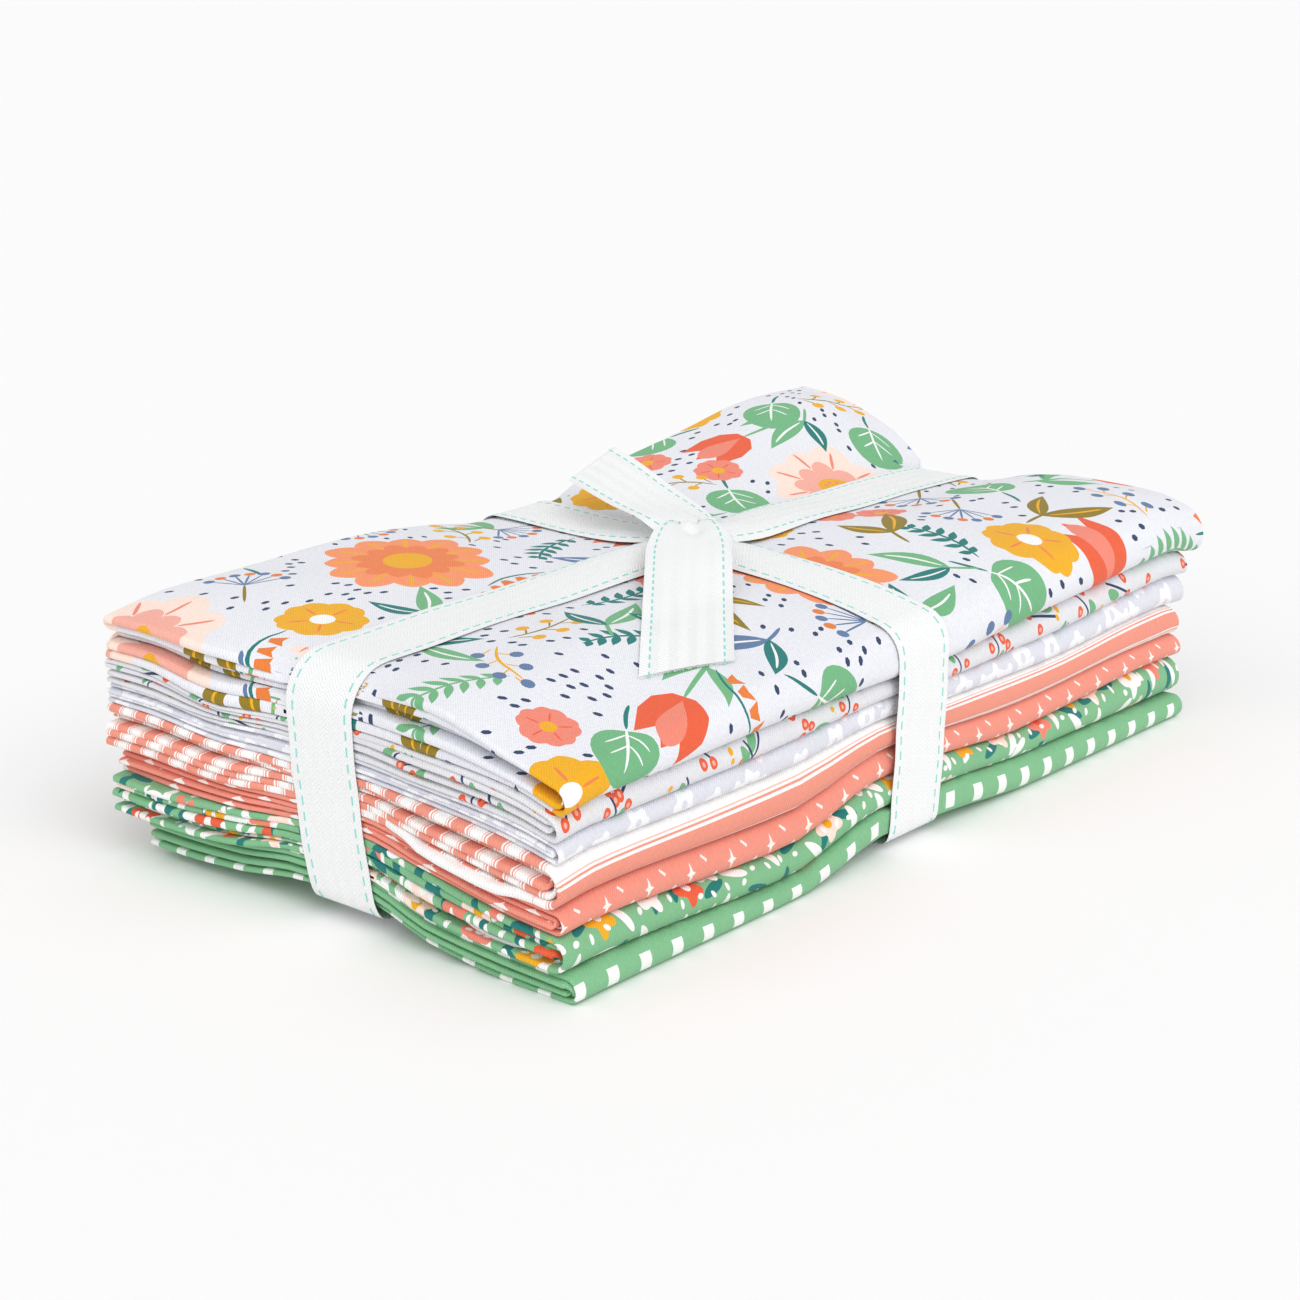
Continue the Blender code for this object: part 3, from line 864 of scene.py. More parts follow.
@dataclass
class Drawing:
    """Printed shapes in the flat cloth, in millimetres, the later ones over the earlier ones."""

    shapes: list[tuple[Points, Colour]] = field(default_factory=list)

    def add(self, outline: Points, colour: Colour) -> None:
        """Adds a closed shape, turned anticlockwise so that its inside is on its left.

        Args:
            outline: its corners.
            colour: its colour.
        """
        corners = np.asarray(outline, dtype=float)
        x, y = corners.T
        area = float(np.sum(x * np.roll(y, -1) - y * np.roll(x, -1)))
        self.shapes.append((corners if area > 0 else corners[::-1], colour))

    def stamp(self, other: Drawing, x: float, y: float, turn: float, size: float = 1.0) -> None:
        """Adds another drawing's shapes at a place.

        Args:
            other: the drawing to repeat.
            x: its place along the first axis.
            y: its place along the second axis.
            turn: its turn in radians.
            size: its scale.
        """
        c, s = math.cos(turn) * size, math.sin(turn) * size
        spin = np.array([[c, s], [-s, c]])
        for outline, colour in other.shapes:
            self.shapes.append((outline @ spin + (x, y), colour))

    def disc(
        self, x: float, y: float, rx: float, ry: float, turn: float, colour: Colour, n: int,
    ) -> None:
        """Adds an oval of n corners.

        Args:
            x: its middle along the first axis.
            y: its middle along the second axis.
            rx: its half length.
            ry: its half width.
            turn: its turn in radians.
            colour: its colour.
            n: how many corners it has.
        """
        angle = np.linspace(0, math.tau, n, endpoint=False)
        px, py = rx * np.cos(angle), ry * np.sin(angle)
        c, s = math.cos(turn), math.sin(turn)
        self.add(np.stack([x + px * c - py * s, y + px * s + py * c], axis=1), colour)

    def leaf(
        self, x: float, y: float, turn: float, length: float, width: float, colour: Colour,
        bend: float = 0.0, rib: Colour | None = None,
    ) -> None:
        """Adds a pointed leaf from its foot, with a line along its middle if it has a rib.

        Args:
            x: its foot along the first axis.
            y: its foot along the second axis.
            turn: its turn in radians.
            length: its length.
            width: its width.
            colour: its colour.
            bend: how far it bends aside, as a share of its length.
            rib: the line's colour, if it has one.
        """
        t = np.linspace(0, 1, 11)
        half = width / 2 * np.sin(np.pi * t**0.8)
        curve = bend * length * np.sin(np.pi * t)
        one = np.stack([t * length, curve + half], axis=1)
        two = np.stack([t[::-1] * length, (curve - half)[::-1]], axis=1)
        both = np.concatenate([one, two[1:-1]])
        c, s = math.cos(turn), math.sin(turn)
        spin = np.array([[c, s], [-s, c]])
        self.add(both @ spin + (x, y), colour)
        if rib is not None:
            middle = np.stack([t * length, curve], axis=1)[[1, 4, 6, 8]]
            self.stroke(middle @ spin + (x, y), width * 0.13, rib)

    def petal(self, turn: float, start: float, end: float, width: float, colour: Colour) -> None:
        """Adds a petal with a round tip, pointing out from the middle.

        Args:
            turn: its turn in radians.
            start: its foot's distance from the middle.
            end: its tip's distance from the middle.
            width: its width.
            colour: its colour.
        """
        t = 1 - (1 - np.linspace(0, 1, 13)) ** 1.5
        half = width / 2 * np.sin(np.pi * t**1.7) ** 0.62
        x = start + (end - start) * t
        both = np.concatenate([np.stack([x, half], axis=1), np.stack([x, -half], axis=1)[::-1][1:-1]])
        c, s = math.cos(turn), math.sin(turn)
        self.add(both @ np.array([[c, s], [-s, c]]), colour)

    def stroke(self, course: list[tuple[float, float]], width: float, colour: Colour) -> None:
        """Adds a smooth line through points, thinner at its ends.

        Args:
            course: the points.
            width: its width.
            colour: its colour.
        """
        given = np.asarray(course, dtype=float)
        t = np.linspace(0, len(given) - 1, 3 * (len(given) - 1) + 1)
        index = np.clip(t.astype(int), 0, len(given) - 2)
        part = (t - index)[:, None]
        before = given[np.maximum(index - 1, 0)]
        after = given[np.minimum(index + 2, len(given) - 1)]
        a, b = given[index], given[index + 1]
        line = 0.5 * (
            2 * a + (b - before) * part + (2 * before - 5 * a + 4 * b - after) * part**2
            + (3 * a - before - 3 * b + after) * part**3
        )
        slope = np.gradient(line, axis=0)
        side = np.stack([-slope[:, 1], slope[:, 0]], axis=1)
        side /= np.maximum(np.linalg.norm(side, axis=1, keepdims=True), 1e-9)
        share = np.linspace(0, 1, len(line))
        half = (width / 2 * (0.25 + 0.75 * np.sin(np.pi * share) ** 0.5))[:, None]
        self.add(np.concatenate([line + side * half, (line - side * half)[::-1]]), colour)


@dataclass
class FoldedCut:
    """One cut of cloth, folded in four along its width and in six along its length.

    Attributes:
        stack: the height levels that it lies between.
        index: its place from the top, 0 for the first.
        name: the piece's name.
        node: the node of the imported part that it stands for.
        end: which end shows the selvages.
        left: reach past the fold line at the left end, in metres, near the front.
        left_back: the same near the back.
        right: the same at the right end.
        front: the same at the front.
        back: the same at the back.
        flap_layer: the layer whose edge hangs out over the one below at the left end, 0 for none.
        flap_range: where that edge begins and ends, as shares of the way from the front to the back.
        flat: the cloth's cut size.
        layers: layers along its length.
        ply: distance between two plies in that drawing.
        gap: room left to the next cut.
        stray: how far the layers' ends stray from each other.
        flap_out: how far the hanging edge stands out.
        flap_down: how far it hangs down.
    """

    stack: Stack
    index: int
    name: str
    node: str
    end: End
    left: float
    left_back: float
    right: float
    front: float
    back: float
    flap_layer: int = 0
    flap_range: tuple[float, float] = (0.0, 0.0)
    flat: tuple[float, float] = CUT
    layers: int = 6
    ply: float = 0.31 * MM
    gap: float = 0.16 * MM
    stray: float = 0.55 * MM
    flap_out: float = 1.7 * MM
    flap_down: float = 1.1 * MM

    def __post_init__(self) -> None:
        """Takes the height that its fold is drawn at, and lays out its two courses and their unevenness."""
        places = np.linspace(-0.8, 0.8, 9) * self.stack.half_length
        top, under = self.sides(places, np.full_like(places, 3 * MM - self.stack.half_width))
        self.nominal = float(np.mean(top - under))
        self.pitch = self.nominal / self.layers
        self.chance = np.random.default_rng(31 + self.index)
        self.sway = [Ripple(100 + 10 * self.index + n, 55 * MM) for n in range(self.layers + 2)]
        self.across = self.ply_course()
        self.lengthwise = self.layer_course()

    def ply_course(self) -> dict[str, Points]:
        """The cloth's course across its width: four plies, with a fold of two and a nested fold.

        Returns:
            The flat place, share of half the length, turn past the end, and ply offset of each column.
        """
        inner = [0, 0.06, 0.12, 0.19, 0.27, 0.36, 0.45, 0.54, 0.63, 0.72]
        inner = np.array(inner + [0.8, 0.87, 0.92, 0.955, 0.98, 1.0])
        stations = np.concatenate([-inner[:0:-1], inner])
        s = self.ply
        rows: list[tuple[float, float, float]] = []

        def lay(direction: int, offset: float) -> None:
            """Adds one ply from end to end."""
            rows.extend((station, 0.0, offset) for station in stations[::direction])

        def fold(side: int, start: float, stop: float, steps: int) -> None:
            """Adds a half round between two plies.

            Args:
                side: -1 for the left end, 1 for the right one.
                start: the ply offset that it comes from.
                stop: the ply offset that it goes to.
                steps: how many steps it is made in.
            """
            middle, radius = (start + stop) / 2, abs(stop - start) / 2
            for step in range(1, steps):
                angle = math.pi * (step / steps - 0.5)
                rise = math.copysign(1.0, stop - start) * math.sin(angle)
                rows.append((float(side), side * radius * math.cos(angle), middle + radius * rise))

        rows.append((1.0, 0.5 * MM, -0.7 * s))
        lay(-1, -0.5 * s)
        fold(-1, -0.5 * s, 0.5 * s, 6)
        lay(1, 0.5 * s)
        fold(1, 0.5 * s, 1.5 * s, 6)
        lay(-1, 1.5 * s)
        fold(-1, 1.5 * s, -1.5 * s, 10)
        lay(1, -1.5 * s)
        rows.append((1.0, 0.9 * MM, -1.8 * s))
        unit, turn, offset = np.array(rows).T
        if self.end is End.SELVAGES_LEFT:
            unit, turn = -unit, -turn
        place = unit * self.stack.half_length + turn
        steps = np.hypot(np.diff(place), np.diff(offset))
        flat = np.concatenate([[0.0], np.cumsum(steps)])
        return {"flat": flat / flat[-1] * self.flat[0], "unit": unit, "turn": turn, "offset": offset}

    def layer_share(self, layer: int) -> float:
        """Height of a layer's middle as a share of the cut's height; layer 1 is the top one."""
        return 1.0 - (layer - 0.5) / self.layers

    def layer_course(self) -> dict[str, Points]:
        """The cloth's course along its length: six layers and the turns between them.

        Returns:
            For each row: its flat place, how much it keeps to the front, its reach past the centre
            of its turn, its height share, the direction of its face, its layer and its ends.
        """
        rows: list[tuple[float, ...]] = []
        run = np.concatenate([[0.0, 0.02, 0.05], np.linspace(0.085, 0.915, 21), [0.95, 0.98, 1.0]])

        def lay(layer: int, forward: bool) -> None:
            """Adds one layer from edge to edge.

            Args:
                layer: the layer, 1 for the top one.
                forward: whether it runs from the front to the back.
            """
            side = 1.0 if forward else -1.0
            for q in run if forward else run[::-1]:
                rows.append((1 - q, 0.0, self.layer_share(layer), 0.0, side, layer, layer, 0.0))

        def fold(outward: int, first: int, last: int, steps: int) -> None:
            """Adds a half round between two layers.

            Args:
                outward: -1 for a turn at the front, 1 for one at the back.
                first: the layer that it comes from.
                last: the layer that it goes to.
                steps: how many steps it is made in.
            """
            middle = (self.layer_share(first) + self.layer_share(last)) / 2
            radius = abs(first - last) / 2 * self.pitch
            rising = 1.0 if last < first else -1.0
            for step in range(1, steps):
                angle = rising * math.pi * (step / steps - 0.5)
                reach, rise = math.cos(angle), math.sin(angle)
                share = middle + radius * rise / self.nominal
                front = 1.0 if outward < 0 else 0.0
                turn = outward * radius * reach
                face_v, face_s = -rising * reach, -rising * outward * rise
                rows.append((front, turn, share, face_v, face_s, first, last, step / steps))

        def free_end(layer: int, side: float) -> None:
            """Adds a layer's cut end at the back."""
            rows.append((0.0, 1.1 * MM, self.layer_share(layer), 0.0, side, layer, layer, 0.0))

        free_end(6, -1.0)
        lay(6, False)
        fold(-1, 6, 1, 20)
        lay(1, True)
        fold(1, 1, 2, 8)
        lay(2, False)
        fold(-1, 2, 5, 14)
        lay(5, True)
        fold(1, 5, 4, 8)
        lay(4, False)
        fold(-1, 4, 3, 8)
        lay(3, True)
        free_end(3, 1.0)
        front, reach, share, face_v, face_s, first, last, part = np.array(rows, dtype=float).T
        place = (1 - 2 * front) * (self.stack.half_width - 2 * MM) + reach
        steps = np.hypot(np.diff(place), np.diff(share * self.nominal))
        flat = np.concatenate([[0.0], np.cumsum(steps)])
        count = self.layers + 2
        short_left = self.chance.uniform(0.0, 1.5 * MM, count)
        short_right = self.chance.uniform(0.0, 2.2 * MM, count)
        weight = self.chance.uniform(0.92, 1.12, count)
        drawn_back = 2 + self.chance.choice(self.layers - 2, 2, replace=False)
        weight[drawn_back] = 0.5
        short_left[drawn_back] += 2.4 * MM
        weight[1:-1] *= self.layers / weight[1:-1].sum()
        plump = weight * self.pitch / (3 * self.ply) * 0.93
        whole = np.arange(count)
        held = (first[:, None] == whole) * (1 - part[:, None]) + (last[:, None] == whole) * part[:, None]
        lift = np.zeros(count)
        above = np.cumsum(weight[1:-1]) - weight[1:-1] / 2
        lift[1:-1] = (1 - above / self.layers) - (1 - (whole[1:-1] - 0.5) / self.layers)
        return {
            "flat": flat / flat[-1] * self.flat[1],
            "front": front,
            "reach": reach,
            "share": share,
            "face_v": face_v,
            "face_s": face_s,
            "layer": first + (last - first) * part,
            "short_left": held @ short_left,
            "short_right": held @ short_right,
            "plump": held @ plump,
            "lift": held @ lift,
            **{f"sway_{n}": held[:, n] for n in range(count)},
        }

    def left_fold(self) -> float:
        """Where the fold that shows at the left end lies across the flat cloth."""
        return float(self.across["flat"][np.argmin(self.across["turn"])])

    def front_fold(self) -> float:
        """Where the fold that shows at the front lies along the flat cloth."""
        return float(self.lengthwise["flat"][np.argmin(self.lengthwise["reach"])])

    def flap(self) -> tuple[float, float, float] | None:
        """Where the flat cloth hangs out as a flap: its fold across, and its start and end along.

        Returns:
            The three places in metres, or None if no edge hangs out.
        """
        if not self.flap_layer:
            return None
        rows = self.lengthwise
        inside = (np.abs(rows["layer"] - self.flap_layer) < 0.01) & (rows["reach"] == 0)
        keeps = (1 - rows["front"] >= self.flap_range[0]) & (1 - rows["front"] <= self.flap_range[1])
        places = rows["flat"][inside & keeps]
        return self.left_fold(), float(places.min()), float(places.max())

    def outer_reach(self) -> float:
        """How far the outermost turn stands past its centre in the drawing."""
        return 2.5 * self.pitch + 1.5 * self.ply

    def inner_reach(self) -> float:
        """How far a turn at the back stands past its centre in the drawing."""
        return 0.5 * self.pitch + 1.5 * self.ply

    def sides(self, u: Points, v: Points) -> tuple[Points, Points]:
        """The heights of the cut's upper and lower limits at drawing points.

        Args:
            u: places along X before the tie draws them aside.
            v: places along Y before the tie draws them aside.

        Returns:
            The upper and the lower heights.
        """
        top = self.stack.height(self.index, u, v) - (self.gap / 2 if self.index else 0.0)
        last = len(self.stack.shares) - 1
        under = self.stack.height(self.index + 1, u, v) + (self.gap / 2 if self.index < last else 0.0)
        return top, under

    def place(self, flat_u: Points, flat_v: Points) -> Points:
        """Where points of the flat cloth lie once it is folded and tied.

        Args:
            flat_u: places across the flat cloth.
            flat_v: places along the flat cloth.

        Returns:
            One row of coordinates for each point.
        """
        across, rows = self.across, self.lengthwise
        unit, turn, offset = (
            np.interp(flat_u, across["flat"], across[key]) for key in ("unit", "turn", "offset")
        )
        read = {key: np.interp(flat_v, rows["flat"], rows[key]) for key in rows if key != "flat"}
        half, width = self.stack.half_length, self.stack.half_width
        near_u = unit * half
        front_line = np.full_like(near_u, -width + 3 * MM)
        front_top, front_under = self.sides(near_u, front_line)
        back_top, back_under = self.sides(near_u, -front_line)
        front_size = (front_top - front_under) / self.nominal
        back_size = np.clip((back_top - back_under) / self.nominal, 0.5, 1.3)
        front_centre = -(width + self.front) + self.outer_reach() * front_size
        back_centre = width + self.back - self.inner_reach() * back_size
        near_end = ease(np.abs(unit), 0.9, 1.0)
        fatness = 1 + (read["plump"] - 1) * near_end
        front = read["front"]
        size = front * front_size + (1 - front) * back_size
        v = front * front_centre + (1 - front) * back_centre
        v = v + (read["reach"] + offset * read["face_v"]) * size
        left = self.left + (self.left_back - self.left) * ease(v, -10 * MM, 60 * MM)
        reach_left = half + left - read["short_left"] - 1.5 * self.ply
        reach_right = half + self.right - read["short_right"] - 1.5 * self.ply
        wander = np.zeros_like(v)
        for n, wave in enumerate(self.sway):
            wander = wander + read[f"sway_{n}"] * wave.at(v, near_u)
        reach = np.where(unit < 0, reach_left, reach_right) + wander * self.stray
        u = unit * reach + turn * fatness * size
        hang = np.zeros_like(u)
        flap = self.flap()
        if flap is not None:
            fold, start, stop = flap
            hang = 1 - ease(np.abs(flat_u - fold), 2 * MM, 8 * MM)
            hang = hang * ease(flat_v, start, start + 16 * MM) * (1 - ease(flat_v, stop - 12 * MM, stop))
            u = u - hang * self.flap_out
        share = read["share"] + read["lift"] * near_end
        share = share + wander * 0.03 * near_end * 4 * share * (1 - share)
        share = share + offset * read["face_s"] * fatness / self.nominal
        spare = 0.5 / self.layers - 1.5 * self.ply / self.nominal
        share = 0.5 + (share - 0.5) * (1 + (1 / (1 - 2 * spare) - 1) * (1 - near_end))
        top, under = self.sides(u, v)
        z = under + (top - under) * share - hang**2 * self.flap_down
        x, y = self.stack.plan(u, v)
        return np.stack([x, y, z], axis=-1)

    def build(self, wraps: list[Wrap], drawing: Drawing | None = None) -> bpy.types.Object:
        """Makes the folded cloth as one sheet.

        Args:
            wraps: the wraps that hold it.
            drawing: printed shapes that are cut into its faces, if any.

        Returns:
            The sheet, with its flat pattern as its own map.
        """
        us, vs = self.across["flat"], self.lengthwise["flat"]
        flat_v, flat_u = (grid.ravel() for grid in np.meshgrid(vs, us, indexing="ij"))
        flat = np.stack([flat_u, flat_v], axis=1)
        faces = grid_faces(len(vs), len(us))
        colours: list[Colour] = []
        if drawing is not None:
            flat, faces, colours = cut_print(us, vs, drawing)
        points = self.place(flat[:, 0], flat[:, 1])
        for wrap in wraps:
            points = wrap.squeeze(points)
        points[:, 2] = np.maximum(points[:, 2], 0.05 * MM)
        thing = mesh_object(self.name, points, faces)
        lay_maps(thing, flat, self.flat)
        if colours:
            paint_faces(thing, colours)
        return thing


def cut_print(us: Points, vs: Points, drawing: Drawing) -> tuple[Points, list, list[Colour]]:
    """Cuts printed shapes into the faces of a flat cloth.

    Args:
        us: the columns' places across the cloth.
        vs: the rows' places along the cloth.
        drawing: the printed shapes, in millimetres.

    Returns:
        The flat corners, the faces, and each face's colour.
    """
    rows, columns = len(vs), len(us)
    corners = [Vector((u * 1000, v * 1000)) for v in vs for u in us]
    edges = [(r * columns + c, r * columns + c + 1) for r in range(rows) for c in range(columns - 1)]
    edges += [(r * columns + c, (r + 1) * columns + c) for r in range(rows - 1) for c in range(columns)]
    outlines: list[list[int]] = []
    for outline, _ in drawing.shapes:
        first = len(corners)
        corners.extend(Vector(corner) for corner in outline)
        outlines.append(list(range(first, len(corners))))
    made = delaunay_2d_cdt(corners, edges, outlines, 0, 1e-5, True)
    flat = np.array([tuple(corner) for corner in made[0]]) / 1000
    low, high = np.array([us[0], vs[0]]), np.array([us[-1], vs[-1]])
    flat = np.clip(flat, low, high)
    boxes = [(*outline.min(axis=0), *outline.max(axis=0)) for outline, _ in drawing.shapes]
    outlines_of = [outline.tolist() for outline, _ in drawing.shapes]
    faces, colours = [], []
    for face, sources in zip(made[2], made[5]):
        faces.append(tuple(face))
        x, y = flat[list(face)].mean(axis=0) * 1000
        shown = PALETTE.ground
        for source in sorted(sources, reverse=True):
            left, low_y, right, high_y = boxes[source]
            if left <= x <= right and low_y <= y <= high_y and holds(outlines_of[source], x, y):
                shown = drawing.shapes[source][1]
                break
        colours.append(shown)
    return flat, faces, colours


def holds(outline: list[list[float]], x: float, y: float) -> bool:
    """Whether a closed outline holds a place.

    Args:
        outline: its corners.
        x: the place along the first axis.
        y: the place along the second axis.

    Returns:
        True if the place is inside.
    """
    inside = False
    before_x, before_y = outline[-1]
    for corner_x, corner_y in outline:
        if (corner_y > y) != (before_y > y):
            cross = corner_x + (y - corner_y) * (before_x - corner_x) / (before_y - corner_y)
            if x < cross:
                inside = not inside
        before_x, before_y = corner_x, corner_y
    return inside


def paint_faces(thing: bpy.types.Object, colours: list[Colour]) -> None:
    """Stores each face's printed colour on its corners.

    Args:
        thing: the sheet.
        colours: a colour for each face.
    """
    mesh = thing.data
    sizes = np.empty(len(mesh.polygons), dtype=np.int32)
    mesh.polygons.foreach_get("loop_total", sizes)
    given = np.concatenate([np.array(colours), np.ones((len(colours), 1))], axis=1)
    layer = mesh.color_attributes.new("print", "FLOAT_COLOR", "CORNER")
    layer.data.foreach_set("color", np.repeat(given, sizes, axis=0).ravel())


class Motifs:
    """The drawn motifs of the large floral: plain garden flowers and leaves."""

    @staticmethod
    def daisy(radius: float, count: int, petal: Colour, inner: Colour, rib: Colour, heart: Colour) -> Drawing:
        """An open flower of separate long petals round a dotted heart.

        Args:
            radius: its radius.
            count: how many petals.
            petal: the petals' colour.
            inner: the colour of the short petals over them.
            rib: the colour of the line on each petal.
            heart: the heart's colour.

        Returns:
            The drawing.
        """
        made = Drawing()
        width = math.tau * radius / count * 0.82
        for n in range(count):
            a = math.tau * n / count
            made.petal(a, radius * 0.12, radius * (1.0 - 0.06 * (n % 3)), width, petal)
        for n in range(count):
            a = math.tau * (n + 0.5) / count
            made.petal(a, radius * 0.1, radius * (0.62 - 0.05 * (n % 2)), width * 0.55, inner)
        for n in range(count):
            a = math.tau * n / count
            line = [(r * radius * math.cos(a), r * radius * math.sin(a)) for r in (0.5, 0.66, 0.84)]
            made.stroke(line, radius * 0.045, rib)
        made.disc(0, 0, radius * 0.27, radius * 0.26, 0, heart, 30)
        for n in range(9):
            a = math.tau * n / 9
            made.disc(radius * 0.16 * math.cos(a), radius * 0.16 * math.sin(a), 0.9, 0.9, 0, rib, 6)
        return made

    @staticmethod
    def tulip() -> Drawing:
        """A red-orange tulip from its side, on a stem with two leaves.

        Returns:
            The drawing.
        """
        made = Drawing()
        made.stroke([(-26, -3), (-14, -1.5), (0, 0)], 1.4, PALETTE.green)
        made.leaf(-22, -2.5, 0.5, 19, 5.0, PALETTE.green, 0.1)
        made.leaf(-19, -2.0, -0.55, 17, 4.6, PALETTE.green, -0.1)
        cup = [(-1, -3), (3, -7.5), (10, -9.5), (21, -8), (16, -3.6), (22, 0), (16, 3.6), (21, 8), (10, 9.5)]
        made.add(np.array(cup + [(3, 7.5), (-1, 3)]), PALETTE.red)
        made.petal(0.0, 1.0, 20.5, 8.0, PALETTE.coral)
        return made

    @staticmethod
    def garden(petal: Colour, heart: Colour, rib: Colour, radius: float = 12.5) -> Drawing:
        """A small flower of five notched petals, with a line on each.

        Args:
            petal: the petals' colour.
            heart: the heart's colour.
            rib: the lines' colour.
            radius: its radius.

        Returns:
            The drawing.
        """
        made = Drawing()
        for n in range(5):
            a = math.tau * n / 5
            for tilt in (-0.24, 0.24):
                made.petal(a + tilt, 0.6, radius, radius * 0.72, petal)
        for n in range(5):
            c, s = math.cos(math.tau * n / 5) * radius, math.sin(math.tau * n / 5) * radius
            made.stroke([(0.3 * c, 0.3 * s), (0.5 * c, 0.5 * s), (0.74 * c, 0.74 * s)], radius * 0.07, rib)
        made.disc(0, 0, radius * 0.27, radius * 0.27, 0, heart, 16)
        return made

    @staticmethod
    def fern(colour: Colour, pairs: int = 8, size: float = 8.0) -> Drawing:
        """An arched frond of many narrow leaflets.

        Args:
            colour: its colour.
            pairs: how many pairs of leaflets it has.
            size: the longest leaflet's length.

        Returns:
            The drawing.
        """
        made = Drawing()
        length = pairs * 4.6
        made.stroke([(0, 0), (length * 0.35, 2.6), (length * 0.7, 2.4), (length, 0)], 1.0, colour)
        for n in range(pairs):
            x = 3.0 + 4.4 * n
            y = 2.8 * math.sin(math.pi * x / length)
            long = size * math.sin(math.pi * (0.22 + 0.7 * n / pairs))
            made.leaf(x, y, 0.95, long, 2.5, colour)
            made.leaf(x, y, -0.95, long, 2.5, colour)
        return made

    @staticmethod
    def heart_leaf() -> Drawing:
        """A green heart-shaped leaf on a short stalk.

        Returns:
            The drawing.
        """
        made = Drawing()
        made.stroke([(-9, -2), (-4, -0.6), (2, 0)], 1.2, PALETTE.teal)
        angle = np.linspace(0, math.tau, 26, endpoint=False)
        r = 10.5 * (1 - 0.42 * np.abs(np.cos(angle / 2)) ** 7) * (1 + 0.32 * np.abs(np.sin(angle / 2)) ** 9)
        made.add(np.stack([9 - r * np.cos(angle), r * np.sin(angle) * 0.94], axis=1), PALETTE.green)
        made.stroke([(2, 0), (9, 0.4), (17.5, 0)], 0.9, PALETTE.white)
        for x, y in ((8.5, 6.0), (13.0, 5.2)):
            made.stroke([(x - 4, 0.3), (x - 2, y * 0.5), (x, y)], 0.6, PALETTE.white)
            made.stroke([(x - 4, 0.3), (x - 2, -y * 0.5), (x, -y)], 0.6, PALETTE.white)
        return made

    @staticmethod
    def spray(berry: Colour, stem: Colour) -> Drawing:
        """A curved stem with round berries on short stalks to both sides.

        Args:
            berry: the berries' colour.
            stem: the stem's colour.

        Returns:
            The drawing.
        """
        made = Drawing()
        made.stroke([(0, 0), (7, 2.2), (15, 2.4), (24, 0)], 0.9, stem)
        for x, y in ((5, 6.4), (8, -2.6), (13, 7.4), (17, -2.4), (21, 5.4), (25.5, -0.4)):
            made.stroke([(x - 3.5, 1.9), (x - 1.2, 1.2 + y / 2), (x, y)], 0.6, stem)
            made.disc(x, y, 2.1, 1.8, 0, berry, 10)
        return made

    @staticmethod
    def seed_head() -> Drawing:
        """A half round of fine stalks, each with a dot at its end.

        Returns:
            The drawing.
        """
        made = Drawing()
        made.stroke([(-14, 1.5), (-7, 0.8), (0, 0)], 1.0, PALETTE.olive)
        for n in range(7):
            a = -1.05 + 0.35 * n
            c, s = math.cos(a), math.sin(a)
            made.stroke([(0, 0), (5.5 * c, 5.5 * s), (11 * c, 11 * s)], 0.7, PALETTE.slate)
            made.disc(12 * c, 12 * s, 1.7, 1.7, 0, PALETTE.ember if n % 2 else PALETTE.slate, 9)
        return made

    @staticmethod
    def leaf_pair(colour: Colour, other: Colour, rib: Colour) -> Drawing:
        """Two pointed leaves with a pale rib each, from one stalk.

        Args:
            colour: the stalk's and the longer leaf's colour.
            other: the shorter leaf's colour.
            rib: the ribs' colour.

        Returns:
            The drawing.
        """
        made = Drawing()
        made.stroke([(-8, 0.5), (-3, 0), (3, 0)], 1.1, colour)
        made.leaf(0, 0, 0.42, 23, 7.0, colour, 0.06, rib)
        made.leaf(0, 0, -0.5, 18, 5.6, other, -0.06, rib)
        return made

    @staticmethod
    def bells(colour: Colour) -> Drawing:
        """An arched stalk with small hanging bells.

        Args:
            colour: the bells' colour.

        Returns:
            The drawing.
        """
        made = Drawing()
        made.stroke([(0, 0), (7, 3.6), (15, 4.2), (22, 1.5)], 0.9, PALETTE.teal)
        for x, y in ((6, 3.0), (11, 4.1), (16, 3.9), (21, 1.9)):
            bell = [(-0.9, -1.2), (0.9, -1.2), (2.5, -5.4), (0.0, -4.6), (-2.5, -5.4)]
            made.add(np.array(bell) + (x, y), colour)
        return made


